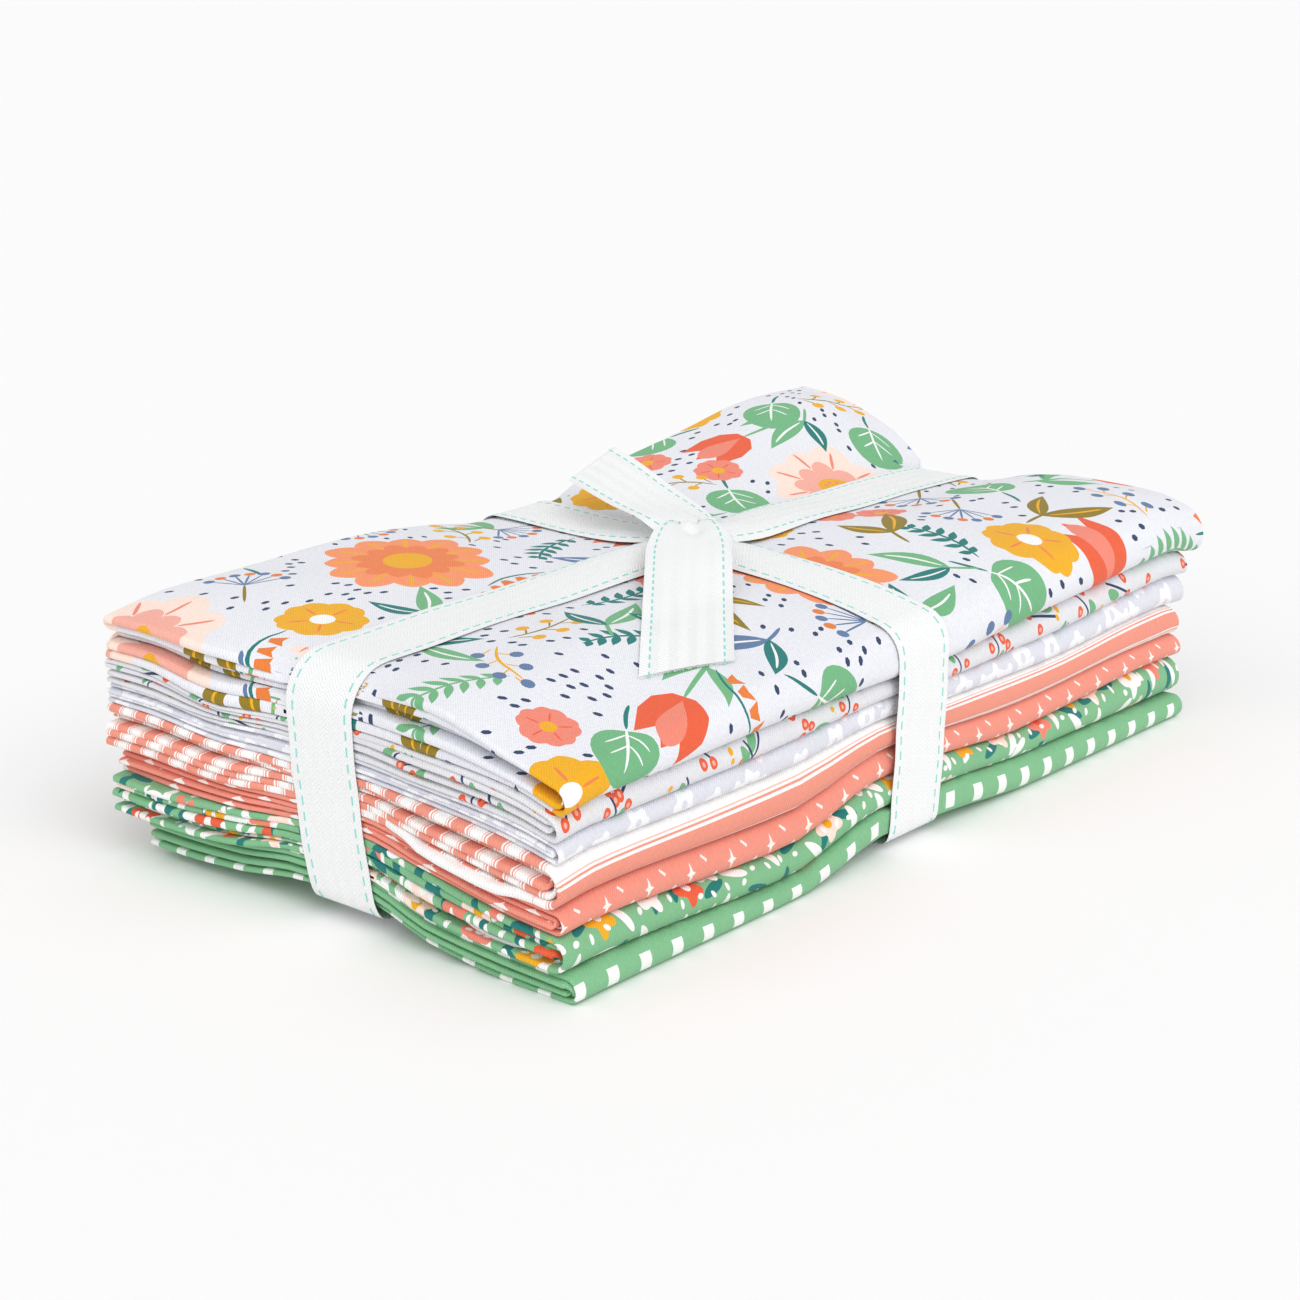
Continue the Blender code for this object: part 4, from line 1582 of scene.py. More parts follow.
@dataclass
class LargeFloral:
    """The top cut's print: blooms, leaves and seeds over a pale ground.

    Attributes:
        repeat: the print's repeat along both directions, in millimetres.
        seed: the fixed seed of its fillers.
        tries: how often each medium motif looks for a free place.
        fillers: the room, the count and whether it is drawn, for bare patches and for specks.
        speck: a speck's half length and half width.
    """

    repeat: float = 304.0
    seed: int = 12
    tries: int = 160
    fillers: tuple[tuple[float, int, bool], ...] = ((4.0, 220, False), (1.8, 2400, True))
    speck: tuple[float, float] = (1.35, 0.78)

    def tile(self) -> Drawing:
        """Draws one repeat: large motifs at listed places, medium ones by chance, specks where there is room.

        Returns:
            The drawing, from 0 to the repeat along both directions.
        """
        made = Drawing()
        specks = Drawing()
        taken: list[tuple[float, float, float]] = []

        def put(
            drawing: Drawing, x: float, y: float, turn: float, room: float, size: float,
            centre: float = 0.0,
        ) -> None:
            """Stamps a motif and keeps its room."""
            made.stamp(drawing, x, y, turn, size)
            taken.append((x + centre * math.cos(turn), y + centre * math.sin(turn), room))

        peach = Motifs.daisy(25, 12, PALETTE.peach, PALETTE.amber, PALETTE.mustard, PALETTE.mustard)
        pale = Motifs.daisy(26, 9, PALETTE.pink, PALETTE.blush, PALETTE.coral, PALETTE.mustard)
        large = (
            (peach, 44, 62, 0.3, 25, 1.0), (pale, 138, 38, 1.1, 25, 1.0), (peach, 252, 86, 2.0, 24, 0.96),
            (peach, 46, 172, 2.4, 24, 0.94), (pale, 196, 268, 1.0, 25, 0.98), (pale, 268, 222, 0.2, 24, 0.94),
            (peach, 116, 254, 2.8, 25, 1.0),
        )
        for drawing, x, y, turn, room, size in large:
            put(drawing, x, y, turn, room, size)
        chance = np.random.default_rng(self.seed)
        medium = (
            (Motifs.tulip(), 13.5, 4.0, 9),
            (Motifs.garden(PALETTE.mustard, PALETTE.white, PALETTE.amber), 12.0, 0.0, 10),
            (Motifs.fern(PALETTE.green), 13.5, 18.0, 8), (Motifs.heart_leaf(), 11.0, 8.0, 16),
            (Motifs.leaf_pair(PALETTE.slate, PALETTE.teal, PALETTE.white), 10.0, 10.0, 10),
            (Motifs.fern(PALETTE.teal, 6, 6.5), 11.0, 13.0, 9),
            (Motifs.leaf_pair(PALETTE.olive, PALETTE.olive, PALETTE.mustard), 10.0, 10.0, 9),
            (Motifs.spray(PALETTE.slate, PALETTE.mustard), 9.5, 12.0, 10),
            (Motifs.seed_head(), 10.0, 4.0, 9), (Motifs.bells(PALETTE.ember), 9.5, 11.0, 9),
            (Motifs.garden(PALETTE.coral, PALETTE.mustard, PALETTE.red, 8.0), 8.0, 0.0, 14),
            (Motifs.spray(PALETTE.mustard, PALETTE.olive), 9.0, 12.0, 12),
            (Motifs.leaf_pair(PALETTE.green, PALETTE.teal, PALETTE.white), 9.0, 9.0, 12),
        )
        for drawing, room, centre, count in medium:
            for _ in range(count):
                for _ in range(self.tries):
                    x, y, turn = *chance.uniform(0, self.repeat, 2), chance.uniform(0, math.tau)
                    mx, my = x + centre * math.cos(turn), y + centre * math.sin(turn)
                    if self.clear(mx, my, room, taken):
                        put(drawing, x, y, turn, room, chance.uniform(0.9, 1.05), centre)
                        break
        outlines = [outline for outline, _ in made.shapes]
        boxes = np.array([(*outline.min(axis=0), *outline.max(axis=0)) for outline in outlines])
        wave = math.tau / self.repeat
        for size, count, drawn in self.fillers:
            for _ in range(count):
                x, y = chance.uniform(0, self.repeat, 2)
                if not self.clear(x, y, size, taken, 0.86) or self.covered(x, y, outlines, boxes):
                    continue
                taken.append((x, y, size))
                if drawn:
                    turn = 0.6 + 1.2 * math.sin(x * wave) + 0.8 * math.cos(2 * y * wave)
                    specks.disc(x, y, *self.speck, turn, PALETTE.navy, 6)
        made.shapes.extend(specks.shapes)
        return made

    def clear(
        self, x: float, y: float, room: float, taken: list[tuple[float, float, float]],
        ease_by: float = 0.9,
    ) -> bool:
        """Whether a place keeps its room from all that is drawn, round the repeat.

        Args:
            x: the place along the first axis.
            y: the place along the second axis.
            room: the room that it needs.
            taken: the places that are taken, each with its room.
            ease_by: the share of both rooms that is enough.

        Returns:
            True if there is room.
        """
        for other_x, other_y, other_room in taken:
            dx = (x - other_x + self.repeat / 2) % self.repeat - self.repeat / 2
            dy = (y - other_y + self.repeat / 2) % self.repeat - self.repeat / 2
            if math.hypot(dx, dy) < (room + other_room) * ease_by:
                return False
        return True

    def covered(
        self, x: float, y: float, outlines: list[Points], boxes: Points, room: float = 1.7,
    ) -> bool:
        """Whether a place lies on or close to a drawn shape, round the repeat.

        Args:
            x: the place along the first axis.
            y: the place along the second axis.
            outlines: the drawn shapes.
            boxes: the least and the most corner of each shape.
            room: how close is too close.

        Returns:
            True if a shape is there.
        """
        shifts = (-self.repeat, 0.0, self.repeat)
        for at in (np.array([x + shift_x, y + shift_y]) for shift_x in shifts for shift_y in shifts):
            inside = (boxes[:, :2] - room < at).all(axis=1) & (boxes[:, 2:] + room > at).all(axis=1)
            for n in np.flatnonzero(inside):
                close = np.hypot(*(outlines[n] - at).T).min() < room
                if close or holds(outlines[n].tolist(), at[0], at[1]):
                    return True
        return False

    def draw(self, cut: FoldedCut, shift: tuple[float, float]) -> Drawing:
        """Repeats the tile where a folded cut shows its print.

        Args:
            cut: the folded cut.
            shift: where the repeat starts, in millimetres.

        Returns:
            The shapes that can be seen from outside.
        """
        tile = self.tile()
        made = Drawing()
        size = np.array(cut.flat) * 1000
        margin = 0.3
        rows = cut.lengthwise
        first_layer = rows["flat"][np.abs(rows["layer"] - 1) < 0.5]
        low, high = first_layer.min() * 1000 - 22, first_layer.max() * 1000 + 4
        folds = [m * cut.flat[0] * 250 for m in (1, 2, 3)]
        wide = (cut.flat[0] * 500 - 12, cut.flat[0] * 750 + 12)
        for i in range(-1, 5):
            for j in range(-1, 5):
                offset = np.array([i * self.repeat + shift[0], j * self.repeat + shift[1]])
                for outline, colour in tile.shapes:
                    placed = outline + offset
                    least, most = placed.min(axis=0), placed.max(axis=0)
                    on_top = most[0] > wide[0] and least[0] < wide[1] and most[1] > low and least[1] < high
                    at_end = any(most[0] > f - 9 and least[0] < f + 9 for f in folds)
                    inside = (most > 0).all() and (least < size).all()
                    if inside and (on_top or at_end):
                        made.add(np.clip(placed, margin, size - margin), colour)
        return made


@dataclass(frozen=True)
class LargeFloralFinish(Cotton):
    """The top cut's cotton, whose printed colour is stored on its faces."""

    def material(self) -> bpy.types.Material:
        """Builds the material.

        Returns:
            The material.
        """
        graph = Graph(self.name)
        u, v = graph.flat_place()
        shown = graph.node("ShaderNodeVertexColor", {"layer_name": "print"}, {}, "Color")
        self.dress(graph, u, v, shown)
        return graph.material


@dataclass(frozen=True)
class SprigFinish(Cotton):
    """Pale grey cotton with small berry sprigs and yellow dots."""

    def material(self) -> bpy.types.Material:
        """Builds the material.

        Returns:
            The material.
        """
        graph = Graph(self.name)
        u, v = graph.flat_place()
        shown: Value | Colour = linear(228, 228, 232)
        for salt, size, shift in ((1.0, 21.0, 0.0), (2.0, 24.0, 10.0)):
            x, y, _ = scattered(graph, u + shift, v + shift * 0.6, size, salt, 0.24)
            stem = (abs(y) < 0.3) * (x > -6.0) * (x < 5.0)
            shown = graph.mix(stem, shown, PALETTE.navy)
            leaf = oval(x + 3.0, y - 2.0, 3.2, 1.3)
            shown = graph.mix(leaf, shown, PALETTE.green)
            for bx, by in ((5.2, 0.4), (2.6, 2.8), (2.2, -2.8)):
                shown = graph.mix(oval(x - bx, y - by, 1.35, 1.25), shown, PALETTE.red)
                shown = graph.mix(oval(x - bx, y - by, 0.55, 0.5), shown, PALETTE.blush)
            dots = oval(x + 8.0, y - 5.5, 0.8, 0.8).most(oval(x + 6.2, y - 6.3, 0.7, 0.7))
            shown = graph.mix(dots, shown, PALETTE.mustard)
        self.dress(graph, u, v, shown)
        return graph.material


@dataclass(frozen=True)
class SoftBloomFinish(Cotton):
    """Pale lavender cotton with white blossoms, tone on tone."""

    def material(self) -> bpy.types.Material:
        """Builds the material.

        Returns:
            The material.
        """
        graph = Graph(self.name)
        u, v = graph.flat_place()
        shown: Value | Colour = linear(223, 224, 233)
        for salt, size, shift in ((3.0, 12.0, 0.0), (4.0, 15.0, 7.0)):
            x, y, _ = scattered(graph, u + shift, v + shift * 0.7, size, salt, 0.2)
            shown = graph.mix(blossom(x, y, 4.2, 5, 0.3), shown, linear(246, 246, 250))
            shown = graph.mix(oval(x, y, 1.1, 1.1), shown, linear(223, 224, 233))
        self.dress(graph, u, v, shown)
        return graph.material


@dataclass(frozen=True)
class StripeFinish(Cotton):
    """White cotton with coral bands along X and fine coral lines between them.

    Attributes:
        period: distance between the bands in millimetres.
        band: width of a band.
        drift: how far the bands run off the fold for each millimetre across.
        square_at: where across the cloth the bands lie true to the front fold.
        front_at: where in the pattern the front fold lies.
        fine: distance from a band, and half width, of the fine line beside it.
        faint: the same of the fainter line past that.
    """

    period: float = 10.88
    band: float = 4.2
    drift: float = 0.0096
    square_at: float = 699.0
    front_at: float = 2.2
    fine: tuple[float, float] = (0.75, 0.2)
    faint: tuple[float, float] = (1.5, 0.14)

    def material(self) -> bpy.types.Material:
        """Builds the material.

        Returns:
            The material.
        """
        graph = Graph(self.name)
        u, v = graph.flat_place()
        drift = (u - self.square_at) * self.drift
        place = (v + drift + (self.front_at - self.front * 1000)).wrap(self.period)
        fine, faint = (
            (abs(place - self.band - off) < half).most(abs(place - self.period + off) < half)
            for off, half in (self.fine, self.faint)
        )
        band = (place < self.band).most(fine)
        shown = graph.mix(band, linear(250, 248, 246), linear(240, 152, 132))
        shown = graph.mix(faint, shown, linear(243, 196, 184))
        self.dress(graph, u, v, shown)
        return graph.material


@dataclass(frozen=True)
class StarFinish(Cotton):
    """Coral cotton with small white four-pointed stars.

    Attributes:
        period: distance between the stars of a row in millimetres.
        rows: distance between the rows.
    """

    period: float = 15.4
    rows: float = 11.0

    def material(self) -> bpy.types.Material:
        """Builds the material.

        Returns:
            The material.
        """
        graph = Graph(self.name)
        u, v = graph.flat_place()
        row = ((v - self.front * 1000) / self.rows + 0.5).floor()
        start = self.fold * 1000 - self.period / 2
        x = (u + row * (self.period / 2) - start).wrap(self.period) - self.period / 2
        y = v - self.front * 1000 - row * self.rows
        star = ((abs(x) * 2.0 + abs(y) * 0.58) < 1.35).most((abs(x) * 0.8 + abs(y) * 1.9) < 1.35)
        tick_x, tick_y = x + 5.6, y - 2.2
        tick = (abs(tick_x - tick_y) < 0.5) * (abs(tick_x + tick_y) < 1.3)
        speck = (abs(x - 5.4) + abs(y + 2.0)) < 0.8
        ground = linear(241, 150, 132)
        shown = graph.mix(star.most(tick).most(speck), ground, linear(252, 244, 238))
        self.dress(graph, u, v, shown)
        return graph.material


@dataclass(frozen=True)
class MeadowFinish(Cotton):
    """Green cotton with a dense small floral in peach, coral, white, mustard and teal."""

    def material(self) -> bpy.types.Material:
        """Builds the material.

        Returns:
            The material.
        """
        graph = Graph(self.name)
        u, v = graph.flat_place()
        shown: Value | Colour = linear(130, 189, 142)
        for salt, size, shift in ((5.0, 11.0, 3.0), (6.0, 13.5, 8.0)):
            x, y, chance = scattered(graph, u + shift, v + shift * 0.4, size, salt, 0.2)
            stops = [(0.0, PALETTE.teal), (0.35, PALETTE.white), (0.8, PALETTE.teal)]
            tone = graph.steps(chance, stops)
            shown = graph.mix(oval(x, y, 4.4, 1.25), shown, tone)
        for salt, size, shift in ((7.0, 17.0, 0.0), (8.0, 20.0, 6.0)):
            x, y, chance = scattered(graph, u + shift, v + shift * 0.8, size, salt, 0.2)
            stops = [
                (0.0, PALETTE.pink), (0.28, PALETTE.white), (0.5, PALETTE.coral),
                (0.72, PALETTE.mustard), (0.86, PALETTE.red),
            ]
            tone = graph.steps(chance, stops)
            shown = graph.mix(blossom(x, y, 4.9, 5, 0.34), shown, tone)
            stops = [(0.0, PALETTE.mustard), (0.5, PALETTE.red), (0.7, PALETTE.white)]
            heart = graph.steps(chance, stops)
            shown = graph.mix(oval(x, y, 1.3, 1.3), shown, heart)
        x, y, _ = scattered(graph, u, v, 5.5, 9.0, 0.25)
        shown = graph.mix(oval(x, y, 1.0, 0.6), shown, PALETTE.white)
        self.dress(graph, u, v, shown)
        return graph.material


@dataclass(frozen=True)
class SquareFinish(Cotton):
    """Green cotton with white squares.

    Attributes:
        period: distance between the squares in millimetres.
        side: a square's side.
        skew: how far the print runs off the grain.
    """

    period: float = 11.8
    side: float = 3.9
    skew: float = 0.012

    def material(self) -> bpy.types.Material:
        """Builds the material.

        Returns:
            The material.
        """
        graph = Graph(self.name)
        u, v = graph.flat_place()
        start = self.fold * 1000 - self.side * 0.3
        x = (u + v * self.skew - start).wrap(self.period)
        y = (v + (self.side / 2 - self.front * 1000)).wrap(self.period)
        square = (x < self.side) * (y < self.side)
        shown = graph.mix(square, linear(132, 191, 144), linear(248, 250, 247))
        self.dress(graph, u, v, shown)
        return graph.material


def scattered(
    graph: Graph, u: Value, v: Value, size: float, salt: float, stray: float,
) -> tuple[Value, Value, Value]:
    """Cuts the cloth into cells and turns and shifts the place in each by chance.

    Args:
        graph: the material's graph.
        u: place across the cloth.
        v: place along the cloth.
        size: a cell's side in millimetres.
        salt: tells one scatter from another.
        stray: how far a motif strays from its cell's middle, as a share of the side.

    Returns:
        The place from the motif's middle along both axes, and a random number for each cell.
    """
    cell_u, cell_v = (u / size).floor(), (v / size).floor()
    one, two, three = graph.chances(cell_u, cell_v, salt)
    x = u - (cell_u + 0.5 + (one - 0.5) * (2 * stray)) * size
    y = v - (cell_v + 0.5 + (two - 0.5) * (2 * stray)) * size
    turn = three * math.tau
    c, s = turn.cosine(), turn.sine()
    return x * c + y * s, y * c - x * s, three


def oval(x: Value, y: Value, long: float, short: float) -> Value:
    """1 inside an oval about the middle."""
    across, down = x / long, y / short
    return (across * across + down * down) < 1.0


def blossom(x: Value, y: Value, radius: float, petals: int, depth: float) -> Value:
    """1 inside a blossom of round petals about the middle.

    Args:
        x: place from its middle along the first axis.
        y: the same along the second axis.
        radius: its radius.
        petals: how many petals it has.
        depth: how deep the dips between them are, as a share of the radius.

    Returns:
        1 inside, 0 outside.
    """
    angle = y.math("ARCTAN2", x)
    edge = (angle * float(petals)).cosine() * (depth * radius / 2) + radius * (1 - depth / 2)
    return (x * x + y * y) < (edge * edge)


@dataclass(frozen=True)
class RibbonFinish:
    """White woven ribbon: a fine herringbone twill with a slight sheen.

    Attributes:
        name: the material's name.
        width: the ribbon's width in millimetres.
        zig: width of one herringbone column and its neighbour.
        rib: distance between two ribs of the twill.
    """

    name: str = "woven_ribbon"
    width: float = 23.0
    zig: float = 4.6
    rib: float = 1.15

    def material(self) -> bpy.types.Material:
        """Builds the material.

        Returns:
            The material.
        """
        graph = Graph(self.name)
        u, v = graph.flat_place()
        zig = abs(u.wrap(self.zig) - self.zig / 2)
        twill = ((zig + v) * (math.tau / self.rib)).sine() * 0.5 + 0.5
        mottle = graph.noise(u, v, 1.4, 2.0)
        edge = ease_edge(u, self.width)
        strength = twill * 0.10 + mottle * 0.06 + edge * -0.02 + 0.89
        ground = graph.mix(twill * 0.3, linear(250, 251, 251), linear(240, 243, 245))
        shown = graph.tint(ground, strength)
        graph.shine(0.2, 0.4, 0.35)
        graph.finish(shown, twill * 0.7 + mottle * 0.3, 0.18 * MM, 0.72)
        return graph.material


def ease_edge(u: Value, width: float) -> Value:
    """1 at a ribbon's woven edges, 0 inside."""
    return 1.0 - (u.least(width - u) / 0.8).kept()


@dataclass(frozen=True)
class ThreadFinish:
    """Thread, of an uneven tone.

    Attributes:
        name: the material's name.
        dark: its darker tone.
        light: its lighter tone.
    """

    name: str
    dark: Colour
    light: Colour

    def material(self) -> bpy.types.Material:
        """Builds the material.

        Returns:
            The material.
        """
        graph = Graph(self.name)
        place = graph.node("ShaderNodeTexCoord", {}, {}, "Object")
        speck = graph.node("ShaderNodeTexNoise", {}, {"Vector": place, "Scale": 2500.0, "Detail": 1.0}, 0)
        shown = graph.mix(speck, self.dark, self.light)
        graph.finish(shown, speck, 0.1 * MM, 0.7)
        return graph.material


@dataclass
class Stitches:
    """Dashes that repeat along lines on a face, made with Geometry Nodes.

    Attributes:
        name: the piece's name.
        material: its finish.
        period: distance between the starts of two dashes.
        size: length, width and thickness of a dash.
        least: the width of the narrowest dash, as a share of the widest.
    """

    name: str
    material: bpy.types.Material
    period: float = 4.0 * MM
    size: tuple[float, float, float] = (2.2 * MM, 0.43 * MM, 0.10 * MM)
    least: float = 1.0

    def tree(self) -> bpy.types.NodeTree:
        """Builds the node tree: it spaces dashes along the lines and lays each one on the face.

        Returns:
            The node tree.
        """
        tree = bpy.data.node_groups.new(self.name, "GeometryNodeTree")
        face = tree.interface
        face.new_socket("Geometry", in_out="INPUT", socket_type="NodeSocketGeometry")
        starts = {"Period": self.period, "Least": self.least}
        starts.update(zip(("Length", "Width", "Thickness"), self.size))
        for label, start in starts.items():
            socket = face.new_socket(label, in_out="INPUT", socket_type="NodeSocketFloat")
            socket.default_value = start
        face.new_socket("Material", in_out="INPUT", socket_type="NodeSocketMaterial")
        face.new_socket("Geometry", in_out="OUTPUT", socket_type="NodeSocketGeometry")
        nodes, links = tree.nodes, tree.links
        given, result = nodes.new("NodeGroupInput"), nodes.new("NodeGroupOutput")
        curve = nodes.new("GeometryNodeMeshToCurve")
        spaced = nodes.new("GeometryNodeResampleCurve")
        spaced.mode = "LENGTH"
        tangent = nodes.new("GeometryNodeInputTangent")
        outward = nodes.new("GeometryNodeInputNamedAttribute")
        outward.data_type = "FLOAT_VECTOR"
        outward.inputs["Name"].default_value = "outward"
        upright = nodes.new("FunctionNodeAlignRotationToVector")
        upright.axis = "Z"
        turned = nodes.new("FunctionNodeAlignRotationToVector")
        turned.axis, turned.pivot_axis = "X", "Z"
        size = nodes.new("ShaderNodeCombineXYZ")
        dash = nodes.new("GeometryNodeMeshCube")
        chance = nodes.new("FunctionNodeRandomValue")
        chance.data_type = "FLOAT"
        chance.inputs["Seed"].default_value = 5
        scale = nodes.new("ShaderNodeCombineXYZ")
        scale.inputs[0].default_value = scale.inputs[2].default_value = 1.0
        placed = nodes.new("GeometryNodeInstanceOnPoints")
        realize = nodes.new("GeometryNodeRealizeInstances")
        dressed = nodes.new("GeometryNodeSetMaterial")
        links.new(given.outputs["Geometry"], curve.inputs[0])
        links.new(curve.outputs[0], spaced.inputs["Curve"])
        links.new(given.outputs["Period"], spaced.inputs["Length"])
        links.new(given.outputs["Length"], size.inputs[0])
        links.new(given.outputs["Width"], size.inputs[1])
        links.new(given.outputs["Thickness"], size.inputs[2])
        links.new(size.outputs[0], dash.inputs["Size"])
        links.new(outward.outputs["Attribute"], upright.inputs["Vector"])
        links.new(upright.outputs[0], turned.inputs["Rotation"])
        links.new(tangent.outputs[0], turned.inputs["Vector"])
        links.new(spaced.outputs[0], placed.inputs["Points"])
        links.new(dash.outputs["Mesh"], placed.inputs["Instance"])
        links.new(turned.outputs[0], placed.inputs["Rotation"])
        links.new(given.outputs["Least"], chance.inputs[2])
        links.new(chance.outputs[1], scale.inputs[1])
        links.new(scale.outputs[0], placed.inputs["Scale"])
        links.new(placed.outputs[0], realize.inputs[0])
        links.new(realize.outputs[0], dressed.inputs["Geometry"])
        links.new(given.outputs["Material"], dressed.inputs["Material"])
        links.new(dressed.outputs[0], result.inputs[0])
        return tree

    def build(self, lines: list[Points], outward: list[Points]) -> bpy.types.Object:
        """Makes the dashes as one plain mesh.

        Args:
            lines: the lines' points, one array for each line.
            outward: the direction out of the face at each point.

        Returns:
            The finished piece.
        """
        points = np.concatenate(lines)
        edges, start = [], 0
        for line in lines:
            edges.extend((start + n, start + n + 1) for n in range(len(line) - 1))
            start += len(line)
        mesh = bpy.data.meshes.new(self.name + "_lines")
        mesh.from_pydata(points.tolist(), edges, [])
        layer = mesh.attributes.new("outward", "FLOAT_VECTOR", "POINT")
        layer.data.foreach_set("vector", np.concatenate(outward).ravel())
        carrier = bpy.data.objects.new(self.name + "_lines", mesh)
        bpy.context.scene.collection.objects.link(carrier)
        modifier = carrier.modifiers.new("dashes", "NODES")
        modifier.node_group = self.tree()
        for item in modifier.node_group.interface.items_tree:
            if item.in_out == "INPUT" and item.name == "Material":
                modifier[item.identifier] = self.material
        view = bpy.context.evaluated_depsgraph_get()
        made = bpy.data.meshes.new_from_object(carrier.evaluated_get(view))
        carrier.modifiers.remove(modifier)
        bpy.data.objects.remove(carrier)
        thing = bpy.data.objects.new(self.name, made)
        made.name = self.name
        bpy.context.scene.collection.objects.link(thing)
        return thing


@dataclass
class Ribbon:
    """The ribbon: two wraps, the front free end, and the back free end with the knot's turn.

    Attributes:
        stack: the stack that it ties.
        width: the ribbon's width.
        lift: how far it lies off the cloth.
        columns: points across the width.
        knot_height: height of the knot's top.
        knot_reach: how far from the knot's middle the wraps come out of it.
        wrap_drop: how far below the knot's top they come out.
        span: how far it spans the cloth's dips rather than follows them, from 0 to 1.
        dash_inset: how far the dashed lines lie in from the edges.
    """

    stack: Stack
    width: float = 23.0 * MM
    lift: float = 0.45 * MM
    columns: int = 25
    knot_height: float = 77.3 * MM
    knot_reach: float = 6 * MM
    wrap_drop: float = 5.4 * MM
    span: float = 0.6
    dash_inset: float = 2.4 * MM

    def wrap_course(self, wrap: Wrap) -> Course:
        """Lays one wrap round the stack, from the knot round its low end, under, and back.

        Args:
            wrap: the wrap's course.

        Returns:
            The ribbon's surface.
        """
        t = np.linspace(-0.5, 0.5, self.columns) * self.width
        knot = self.stack.tie_knot.x if wrap.along_x else self.stack.tie_knot.y
        low, high = (self.half_course(wrap, knot, sign, t) for sign in (-1, 1))
        rows = list(low)
        for share in np.linspace(0.04, 0.96, 30):
            row = low[-1] + (high[-1] - low[-1]) * share
            row[:, 2] = wrap.bottom(np.array([row[0, 0 if wrap.along_x else 1]]))[0] - self.lift
            rows.append(row)
        rows.extend(high[::-1])
        return Course(smooth_rows(np.array(rows), 2), self.width)

    def half_course(self, wrap: Wrap, knot: float, sign: int, t: Points) -> list[Points]:
        """Rows of points from the knot over one edge to under it.

        Args:
            wrap: the wrap's course.
            knot: where the knot lies along its run.
            sign: -1 for its low end, 1 for its high end.
            t: places across the ribbon from its middle.

        Returns:
            The rows.
        """
        edge, radius, lean = (
            (wrap.low_side, wrap.low_radius, wrap.low_lean) if sign < 0
            else (wrap.high_side, wrap.high_radius, wrap.high_lean)
        )
        start = knot + sign * self.knot_reach
        centre = edge - sign * radius
        rows: list[Points] = []

        def lay(place: float | Points, across: Points, z: float | Points) -> None:
            """Adds one row of points in the part's own axes.

            Args:
                place: where the points lie along the run.
                across: where they lie across it.
                z: their height.
            """
            place, z = np.broadcast_to(place, t.shape), np.broadcast_to(z, t.shape)
            parts = (place, across, z) if wrap.along_x else (across, place, z)
            rows.append(np.stack(parts, axis=1))

        for share in np.linspace(0, 1, 30):
            place = start + (centre - start) * share
            away = abs(place - knot)
            tight = 0.6 + 0.4 * ease(away, self.knot_reach, 18 * MM)
            across = wrap.middle(np.array([place]))[0] + t * tight
            cloth, bridge = self.bridge(wrap, place, across)
            slack = 1 - min((away - self.knot_reach) / (0.7 * abs(centre - start)), 1.0)
            rise = (self.knot_height - self.wrap_drop - bridge.mean()) * slack**2
            pleat = 0.4 * MM * (1 - ease(away, 8 * MM, 24 * MM))
            pleats = np.cos(t / self.width * math.tau * 2) * pleat
            droop = 0.85 * rise * np.abs(t / self.width * 2) ** 2.5
            lay(place, across, np.maximum(bridge + rise + pleats - droop, cloth) + self.lift)
        across = wrap.middle(np.array([edge]))[0] + t
        _, top = self.bridge(wrap, centre, across)
        outer = radius + self.lift
        for angle in np.radians(np.linspace(10, 90, 9)):
            lay(centre + sign * outer * math.sin(angle), across, top - radius + outer * math.cos(angle))
        foot = wrap.bottom(np.array([edge]))[0]
        last = top - radius
        for share in np.linspace(0.05, 1, 16):
            z = last + (foot + wrap.foot_radius - last) * share
            fall = np.clip((top - z) / (top - foot), 0, 1)
            bulge = 0.21 * MM * np.sin(z / (18 * MM) * math.tau + t / self.width * 2)
            lay(edge + sign * (self.lift + bulge), across + lean * fall**2, z)
        outer = wrap.foot_radius + self.lift
        for angle in np.radians(np.linspace(15, 90, 6)):
            place = edge + sign * (outer * math.cos(angle) - wrap.foot_radius)
            lay(place, across + lean, foot + wrap.foot_radius - outer * math.sin(angle))
        return rows

    def bridge(self, wrap: Wrap, place: float, across: Points) -> tuple[Points, Points]:
        """The cloth's height in one row under a wrap, and the height at which the ribbon spans it."""
        cloth = wrap.top(np.full(len(across), place), across)
        return cloth, cloth.max() * self.span + cloth * (1 - self.span)

